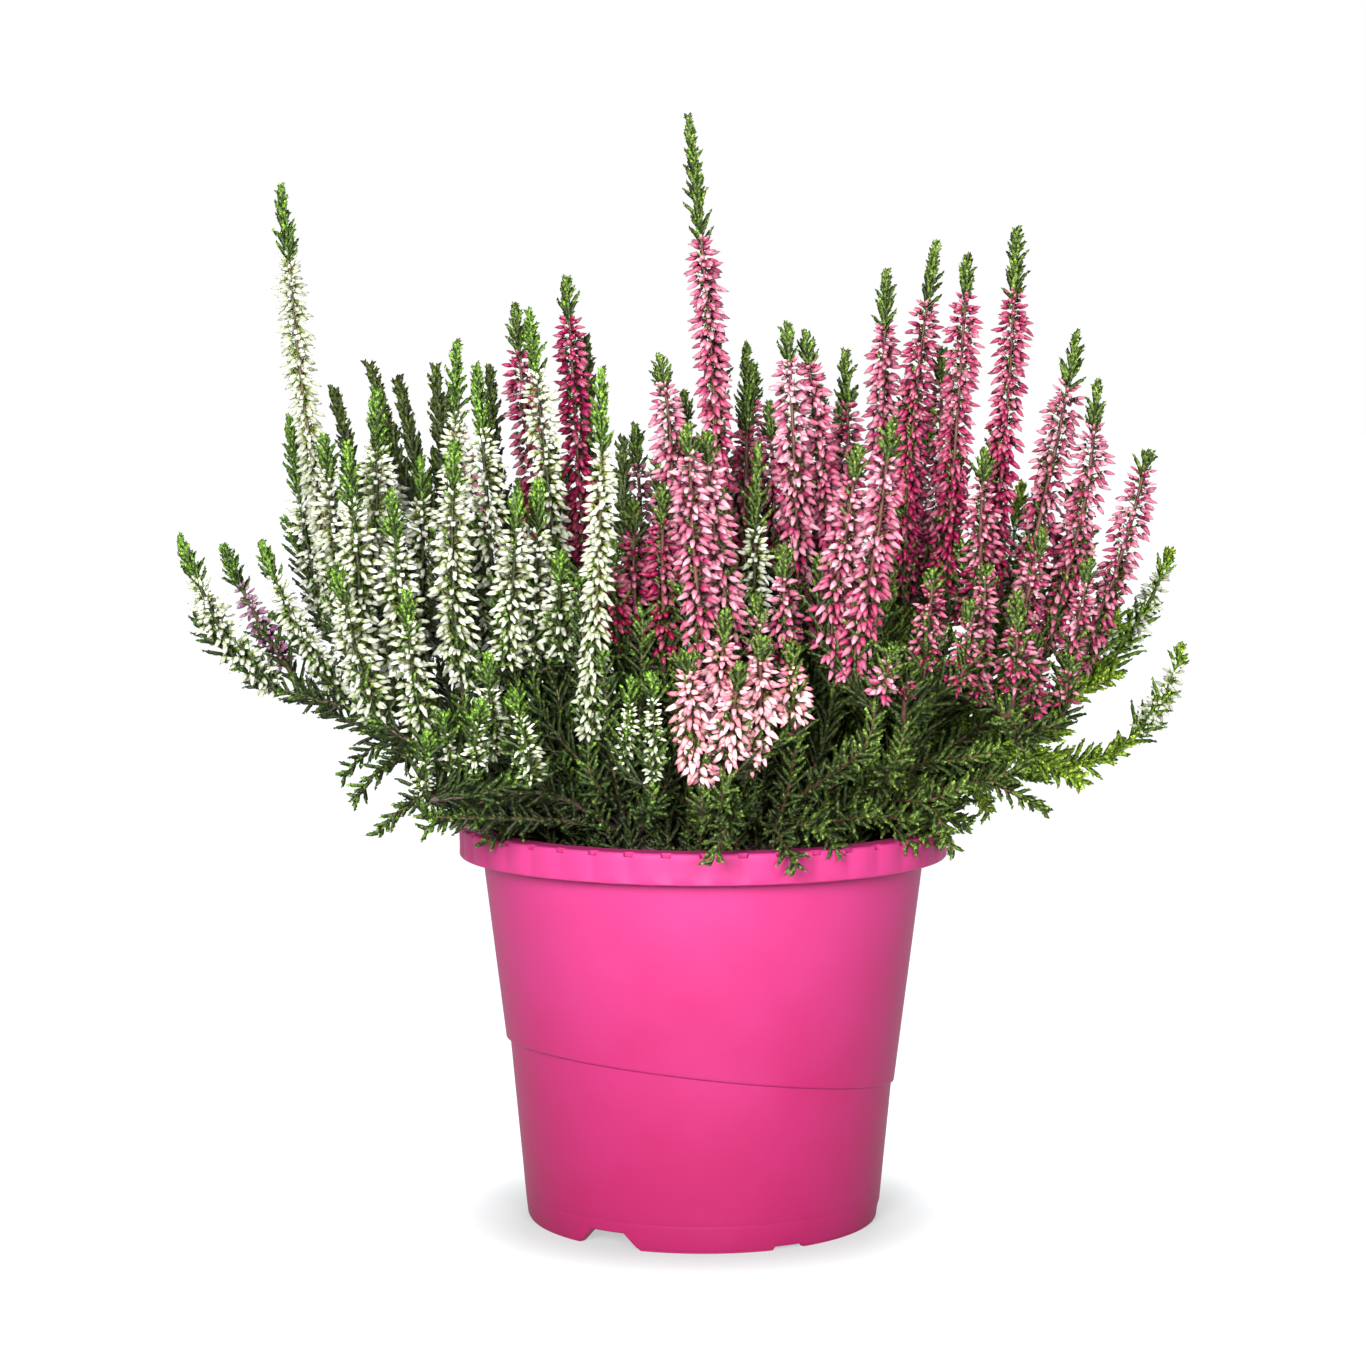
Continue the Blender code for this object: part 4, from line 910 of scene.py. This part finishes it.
# The shoots without flowers: each route goes from its crown through the three points.
GREEN_SHOOTS = {
    "pink_back_left": (
        ((-84, 48, 190), (-119, 58, 236), (-134, 62, 288)),
        ((-70, 30, 195), (-104, 40, 250), (-119, 46, 296)),
        ((-66, 30, 195), (-97, 40, 245), (-109, 46, 291)),
        ((-58, 30, 195), (-88, 34, 245), (-95, 38, 295)),
        ((-50, 34, 195), (-72, 40, 245), (-76, 44, 295)),
        ((-54, 72, 156), (-66, 92, 148), (-74, 106, 130)),
    ),
    "pink_back": (
        ((-24, 36, 195), (-38, 42, 250), (-42, 46, 306)),
        ((-12, 30, 195), (-27, 30, 235), (-28, 32, 270)),
        ((8, 82, 154), (4, 100, 146), (2, 116, 128)),
    ),
    "white_left": (
        ((-86, -28, 166), (-106, -42, 162), (-117, -50, 151)),
        ((-84, 4, 168), (-112, 8, 165), (-126, 10, 153)),
    ),
    "white_front": (
        ((-66, -64, 158), (-94, -74, 154), (-106, -80, 144)),
        ((-50, -74, 156), (-74, -84, 154), (-90, -92, 146)),
    ),
    "pink_front": (((12, -70, 152), (8, -88, 149), (2, -104, 138)),),
    "pink_right": (
        ((68, -38, 155), (76, -54, 149), (82, -64, 136)),
        ((82, -24, 158), (102, -34, 153), (115, -40, 146)),
        ((70, -34, 160), (86, -44, 164), (98, -50, 168)),
        ((62, -44, 150), (74, -58, 152), (86, -66, 158)),
    ),
    "white_right": (
        ((84, 14, 160), (108, 6, 162), (132, -2, 152)),
        ((88, 30, 168), (122, 26, 176), (146, 20, 188)),
        ((78, 0, 162), (104, -12, 164), (124, -18, 172)),
        ((76, 10, 168), (100, 4, 180), (116, 0, 196)),
        ((84, 60, 158), (98, 84, 148), (108, 98, 130)),
    ),
}
TALL_SHOOT = 220.0
BASAL_SHOOTS = 15
RIM_SHOOTS = 60

# The lengths of the side shoots from a stem's foot to its tip, and on the tall dark shoots.
SHOOT_SIZES = (4.8, 7.0, 7.6, 6.4, 3.4)
TALL_SIZES = (7.0, 8.0, 7.6, 6.2, 2.6)

# The share of a green shoot that is bare at its foot.
GREEN_BARE = 0.2

# A spike further than this from its spray's foot has a twig of its own. A spike longer than
# TWIN_SPIKE has a leafy shoot beside it that ends TWIN_AWAY from it.
OWN_TWIG = 6.0
TWIN_SPIKE = 58.0
TWIN_AWAY = 6.5

# How much longer the leafy side shoots are on one plant than on the others, how fresh they are,
# how long a leaf is, and the gap from one side shoot to the next.
LUSH = {
    "white_right": (1.45, 0.4, 2.0, 0.92), "white_left": (1.2, 0.0, 1.6, 1.1),
    "white_front": (1.1, 0.0, 1.6, 1.1), "pink_right": (1.15, 0.3, 1.7, 1.1),
    "pink_front": (1.15, 0.15, 1.6, 1.1),
}
PLAIN_PLANT = (1.0, 0.0, 1.6, 1.1)


def plant_skins(plant):
    """A plant's leaf material and bark material."""
    kind = plant.split("_")[0]
    return LEAVES["young" if plant == "white_right" else kind], BARKS[kind]


spikes = {}
for node in sorted(slot_of):
    if "_spikes." in node:
        lines = spike_lines(node)
        spikes[node] = list(zip(lines, spike_reach(lines, node)))

for number, (plant, (x, y)) in enumerate(CROWNS.items()):
    draw = np.random.default_rng(100 + number)
    growth = Growth()
    leaf_skin, wood = plant_skins(plant)
    crown = (x, y, CROWN_HEIGHT - 4.0)

    trunk = np.array([(x, y, 119.0), (x, y, 126.0), (x + 0.6, y, 133.0), (x, y, CROWN_HEIGHT)])
    tube(
        growth, trunk, (TRUNK_RADIUS, TRUNK_RADIUS, TRUNK_RADIUS * 0.95, CROWN_RADIUS * 0.6),
        wood, np.zeros(4), 0.0, 0.9, sides=10,
    )

    forks = []
    for node, lines in spikes.items():
        if node.startswith(plant + "_spikes."):
            main = max((line for line, _ in lines), key=lambda line: line[-1][2] - line[0][2])
            lowest = min((line[0] for line, _ in lines), key=lambda foot: foot[2])
            forks.append((fork_path(crown, lowest, unit(main[4] - main[0])), 0.22))
            for line, _ in lines:
                heading = unit(line[4] - line[0])
                if math.dist(line[0], lowest) > OWN_TWIG:
                    bend = (lowest + line[0]) / 2 - heading * (2.0, 2.0, 0.0)
                    twig = smooth_curve([lowest, bend, line[0] + heading * 3.0])
                    forks.append((twig[::3], 0.0))
                length = run_along(line)[-1]
                if length > TWIN_SPIKE:
                    behind = draw.uniform(0.2, 2.9)
                    ramp = np.linspace(0.0, 1.0, 10)
                    beside = np.array((math.cos(behind), math.sin(behind), 0.0)) * TWIN_AWAY
                    stretch = ramp * length * draw.uniform(0.42, 0.62)
                    forks.append((at_run(line, stretch) + ramp[:, None] * beside, 0.05))
    for route in GREEN_SHOOTS[plant]:
        forks.append((smooth_curve([crown, *route])[::4], GREEN_BARE))
    for k in range(BASAL_SHOOTS):
        turn = k * 2.4 + draw.uniform(-0.3, 0.3)
        lean = math.radians(6.0 + 58.0 * (k + 0.5) / BASAL_SHOOTS)
        length = np.interp(lean, (0.1, 0.6, 1.1), (92.0, 76.0, 50.0)) * draw.uniform(0.85, 1.12)
        out = np.array((math.cos(turn), math.sin(turn), 0.0)) * math.sin(lean) * length
        end = np.array(crown) + out + (0.0, 0.0, math.cos(lean) * length)
        half = np.array(crown) + out * 0.6 + (0.0, 0.0, math.cos(lean) * length * 0.38)
        for spot in (half, end):
            over_rim = max(0.0, math.hypot(*spot[:2]) - SHOOT_MOUTH)
            least = OVER_PEAT if over_rim == 0.0 else SHOOT_OVER_RIM
            spot[2] = max(spot[2], least + over_rim * 0.2)
        forks.append((smooth_curve([crown, half, end])[::4], 0.24))
    for turn in np.arange(RIM_SHOOTS) * math.tau / RIM_SHOOTS:
        out = np.array((math.cos(turn), math.sin(turn), 0.0))
        if min(CROWNS, key=lambda name: math.dist(CROWNS[name], out[:2] * 64.0)) == plant:
            low = out * draw.uniform(50.0, 60.0) + (0.0, 0.0, 133.0)
            end = out * draw.uniform(64.0, 74.0) + (0.0, 0.0, draw.uniform(152.0, 172.0))
            forks.append((smooth_curve([crown, low, end])[::4], GREEN_BARE))
            right_front = out[0] > 0.3 > out[1] + 0.3
            if right_front or abs(out[0]) > 0.6 and draw.uniform() < 0.6:
                low = out * 72.0 + (0.0, 0.0, 145.0)
                end = out * draw.uniform(86.0, 96.0) + (0.0, 0.0, draw.uniform(133.0, 149.0))
                forks.append((smooth_curve([crown, low, end])[::4], 0.35))

    larger, fresh, leaf_size, shoot_gap = LUSH.get(plant, PLAIN_PLANT)
    sizes = [size * larger for size in SHOOT_SIZES]
    for path, first in forks:
        tall = path[-1][2] > TALL_SHOOT and first == GREEN_BARE
        radii = np.interp(np.linspace(0.0, 1.0, len(path)), (0.0, 0.4, 1.0), (1.2, 0.7, 0.35))
        share = np.linspace(0.0, 0.75, len(path))
        tube(growth, path, radii, wood, share, 0.0, draw.uniform(0.8, 1.15), sides=4)
        if tall:
            plume(
                growth, LEAVES["dark"], path, (0.45, 1.0), 0.8, 34.0,
                TALL_SIZES, 6, 2.0, (0.3, 0.8), draw,
            )
        plume(
            growth, leaf_skin, path, (first, 0.5 if tall else 1.0), shoot_gap, 44.0,
            sizes, 5, leaf_size, (fresh, 0.85 + fresh), draw,
        )
    growth.build(plant + "_stems_and_leaves", plant + "_leafy_stems")


# Flower sprays
# Racemes of closed buds on thin stems: whorls of drooping buds on short stalks with small green
# bracts between them, and above the buds a leafy growing tip of packed scale leaves.


# Buds are four coloured sepals closed round the flower, thin and a little translucent, with a
# green or maroon foot where they leave the stalk. "age" is 0 low on the spike and 1 at its top.
def petal(name, foot, belly, tip, belly_old, tip_old):
    """The buds of one colour: their foot, then belly and tip when young and when old."""
    made, shader = new_material(name)
    along, age, tone = (
        add_node(made, "Attribute", attribute_name=value).outputs["Fac"]
        for value in ("along", "age", "tone")
    )
    to_tip, to_young, past_foot = (
        add_node(made, "MapRange", {
            0: value, 1: low, 2: high,
        }, interpolation_type="SMOOTHSTEP").outputs[0]
        for value, low, high in ((along, 0.45, 1.0), (age, 0.1, 0.8), (along, 0.10, 0.34))
    )
    young, old = (
        add_node(made, "Mix", {
            0: to_tip, 6: linear(low_colour), 7: linear(high_colour),
        }, data_type="RGBA").outputs[2]
        for low_colour, high_colour in ((belly, tip), (belly_old, tip_old))
    )
    colour = add_node(made, "Mix", {0: to_young, 6: old, 7: young}, data_type="RGBA").outputs[2]
    colour = add_node(made, "Mix", {
        0: past_foot, 6: linear(foot), 7: colour,
    }, data_type="RGBA").outputs[2]
    lift = add_node(made, "MapRange", {0: tone, 1: 0.6, 2: 1.4, 3: 0.66, 4: 1.2}).outputs[0]
    depth = add_node(made, "MapRange", {0: tone, 1: 0.6, 2: 1.4, 3: 1.2, 4: 0.72}).outputs[0]
    final = add_node(made, "HueSaturation", {
        "Color": colour, "Value": lift, "Saturation": depth,
    }).outputs[0]
    made.node_tree.links.new(final, shader.inputs["Base Color"])
    shader.inputs["Roughness"].default_value = 0.5
    shader.inputs["Specular IOR Level"].default_value = 0.25
    return made


PETALS = {
    "white": petal("white_sepals", "#616B30", "#999C88", "#AAAC9F", "#8D917D", "#A1A395"),
    "pale": petal("cream_and_pink_sepals", "#6A3F3C", "#B47A80", "#B96C80", "#BC8F8E", "#BC7082"),
    "light": petal("pink_sepals", "#421A22", "#904E62", "#9E757B", "#86344E", "#98566A"),
    "rose": petal("rose_sepals", "#3B151D", "#853F54", "#99636E", "#7A2741", "#91445C"),
    "mauve": petal("mauve_sepals", "#362020", "#8A6178", "#9C8090", "#7A4666", "#8F6180"),
    "deep": petal("deep_pink_sepals", "#330F17", "#792943", "#934C5F", "#6D132E", "#842943"),
}
BUD = spindle(4, [(0.0, 0.26), (0.28, 0.5), (0.68, 0.36)])
INNER_BUD = spindle(4, [(0.0, 0.25), (0.5, 0.5)])

# How long the leafy tip of each spike is in mm, spray by spray, and within a spray from the left.
GREEN_TIPS = {
    "white_left": ((27, 23), (15, 12), (15,), (13, 19), (21, 16), (15, 14)),
    "white_front": (
        (25, 22), (14, 12), (11, 11), (6, 5, 7, 9, 9), (25,), (14, 9), (7, 7), (21,),
    ),
    "pink_back_left": ((15, 13),),
    "pink_back": ((10, 9), (41,), (30, 11), (12, 19), (18, 9)),
    "pink_front": (
        (8, 10, 11), (8, 7), (25, 28), (11, 10), (8, 9), (6, 9), (7, 7, 7), (10, 10, 5),
    ),
    "pink_right": (
        (20, 10), (12, 9), (22,), (17, 9), (8, 15), (8, 7), (4, 4, 5), (4, 12, 5, 4),
    ),
    "white_right": ((8, 8), (7,)),
}
BACK_GREEN_TIP = 14

# How far up a spike its first buds sit, in mm, on each kind of plant and on some spikes of their own.
BARE_FOOT = {"white": 3.0, "pink": 6.0}
LEAFY_FEET = {
    "white_right_spikes.01": 12.5, "white_right_spikes.02": 6.0, "white_left_spikes.03": 10.0,
    "pink_right_spikes.07": 13.0, "pink_right_spikes.08": 10.0, "pink_front_spikes.06": 3.0,
    "white_front_spikes.04": 5.0,
}

# What differs from one flower colour to another: the gap between whorls, the side stalks in a
# whorl, a bud's length and width, all in mm, and how many degrees more its buds droop.
BUDS = {
    "white": (3.1, 5, 4.1, 2.1, 4.0),
    "pale": (2.7, 6, 4.9, 2.35, 22.0),
    "light": (3.3, 5, 4.9, 2.5, 12.0),
    "mauve": (3.2, 5, 3.8, 2.0, 9.0),
    "rose": (3.0, 5, 4.2, 2.15, 10.0),
    "deep": (3.3, 5, 4.7, 2.4, 9.0),
}

# Each side stalk carries two buds: how far out along it each sits, how far round it strays, and
# its form.
BUD_PLACES = ((1.0, 0.25, BUD), (0.42, 0.8, INNER_BUD))

# How far the buds reach from the stem, in mm: the least and the most.
BUD_REACH = (5.6, 8.0)

# Spikes longer than LONG_SPIKE have their buds closer together on a thinner, bare stem. Those that
# stand further back than BACK_ROW have one stalk fewer in a whorl. Both in mm.
LONG_SPIKE = 115.0
BACK_ROW = 38.0

# The lengths of the small side shoots at a spike's tip, and at its foot where that is leafy for up to
# LONG_FOOT or for more, in mm.
TIP_SIZES = (6.2, 6.0, 4.8, 3.2, 1.5)
SHORT_FOOT_SIZES = (10.5, 7.0)
LONG_FOOT_SIZES = (13.0, 9.0)
LONG_FOOT = 12.0

# Young spikes whose buds are still small: their size against the full one.
SMALL_BUDS = {
    "white_front_spikes.04": 0.74, "white_front_spikes.07": 0.68, "pink_right_spikes.07": 0.85,
}

# Spikes whose buds are darker than the others of their colour.
DEEPER = {"pink_back_left_spikes.01": "deep"}
DEEPER.update({node: "rose" for node in spikes if node.startswith("pink_right")})


def flower_spike(growth, line, reach, green, foot, grown, colour, skins, draw):
    """One spike: its stem, buds on stalks, bracts, and the leafy tip."""
    leaf_skin, wood = skins
    gap, each, bud_length, bud_width, droop = BUDS[colour]
    each -= line[-1][1] > BACK_ROW
    bud_length *= grown
    bud_width *= grown
    reach = min(BUD_REACH[1], max(BUD_REACH[0], reach * 1.5 + 1.2)) * grown
    total = run_along(line)[-1]
    share = np.linspace(0.0, 1.0, len(line))
    # the stem, which on the white spikes but the longest has the colour of the scales that clothe it
    scaly = total < LONG_SPIKE
    radii = np.interp(share, (0.0, 1.0), (1.1, 0.5) if scaly else (0.85, 0.45))
    sleeve = leaf_skin if leaf_skin == LEAVES["young"] else LEAVES["dark"]
    skin = sleeve if scaly and colour == "white" else wood
    tube(growth, line, radii, skin, 0.3 + 0.5 * share, 0.3, 0.85, sides=5)
    if not scaly:
        gap *= 0.85
        reach = min(reach, 6.0 if colour == "white" else 7.0)

    flowered = total - green
    marks = np.repeat(np.arange(foot, flowered, gap), each)
    for out, sway, form in BUD_PLACES if len(marks) else ():
        count = len(marks)
        level = np.repeat(np.arange(count // each), each)
        turns = np.tile(np.arange(each), count // each) * math.tau / each + level * 0.79
        turns = turns + draw.normal(0.0, sway, count)
        near = marks + draw.uniform(-1.3, 1.3, count)
        share = np.clip((near - foot) / max(flowered - foot, 1.0), 0.0, 1.0)
        stem = at_run(line, near)
        along = unit(at_run(line, near + 1.5) - at_run(line, near - 1.5) + (0.0, 0.0, 1e-6))
        radial = turned(along, turns)
        top = flowered - near
        lean = np.interp(top, (0.0, 6.0, 14.0, 40.0, 60.0), (44.0, 70.0, 94.0, 104.0, 116.0))
        lean = np.radians(lean + droop + draw.normal(0.0, 12.0, count))[:, None]
        size = np.interp(top, (0.0, 10.0), (0.62, 1.0)) * np.interp(share, (0.0, 0.12), (0.85, 1.0))
        width = np.interp(top, (0.0, 12.0), (0.5, 1.0)) * np.interp(share, (0.0, 0.10), (0.8, 1.0))
        length = bud_length * size * draw.uniform(0.85, 1.12, count)
        stalk = np.maximum(0.5, reach * width - bud_length * 0.9 * size) * out
        stalk = (stalk + 0.5) * draw.uniform(0.75, 1.2, count)
        bud_foot = stem + unit(radial + along * 0.45) * stalk[:, None]
        heading = along * np.cos(lean) + radial * np.sin(lean) - (0.0, 0.0, 0.12)
        growth.scatter(
            form, PETALS[colour], bud_foot, heading, length,
            bud_width * size * draw.uniform(0.88, 1.12, count), share,
            draw.uniform(0.6, 1.4, count) - (0.0 if scaly else 0.3),
        )
        if form is BUD:
            growth.scatter(
                AWL, wood, stem, bud_foot - stem, stalk + 0.5, np.full(count, 0.6), 0.6, 1.0,
            )
        half = draw.uniform(0.0, 1.0, count) < 0.5
        bract = along * 0.7 + turned(along, turns + 0.6)
        growth.scatter(
            AWL, leaf_skin, (stem + (bud_foot - stem) * 0.6)[half], bract[half],
            draw.uniform(1.6, 3.0, half.sum()), np.full(half.sum(), 1.1), 0.8,
            draw.uniform(0.8, 1.25, half.sum()),
        )

    first = min(0.97, max(0.0, flowered - 2.5) / total)
    plume(growth, leaf_skin, line, (first, 1.0), 0.6, 36.0, TIP_SIZES, 6, 1.55, (0.8, 1.0), draw)
    plume(
        growth, leaf_skin, line, (0.0, min(0.9, (foot + 14.0) / total)), 1.1, 48.0,
        LONG_FOOT_SIZES if foot > LONG_FOOT else SHORT_FOOT_SIZES, 5, 1.6, (0.5, 0.85), draw,
    )


for number, (node, lines) in enumerate(spikes.items()):
    draw = np.random.default_rng(500 + number)
    growth = Growth()
    plant, spray = node.split("_spikes.")
    skins = plant_skins(plant)
    colour = slot_of[node]
    foot = LEAFY_FEET.get(node, BARE_FOOT[plant.split("_")[0]])
    grown = SMALL_BUDS.get(node, 1.0)
    seen = GREEN_TIPS[plant]
    at_back = int(spray) > len(seen)
    lengths = (BACK_GREEN_TIP,) * len(lines) if at_back else seen[int(spray) - 1]
    for (line, reach), green in zip(lines, lengths, strict=True):
        flower_spike(growth, line, reach, green, foot, grown, DEEPER.get(node, colour), skins, draw)
    growth.build(node.replace("_spikes.", "_flowers_"), node)
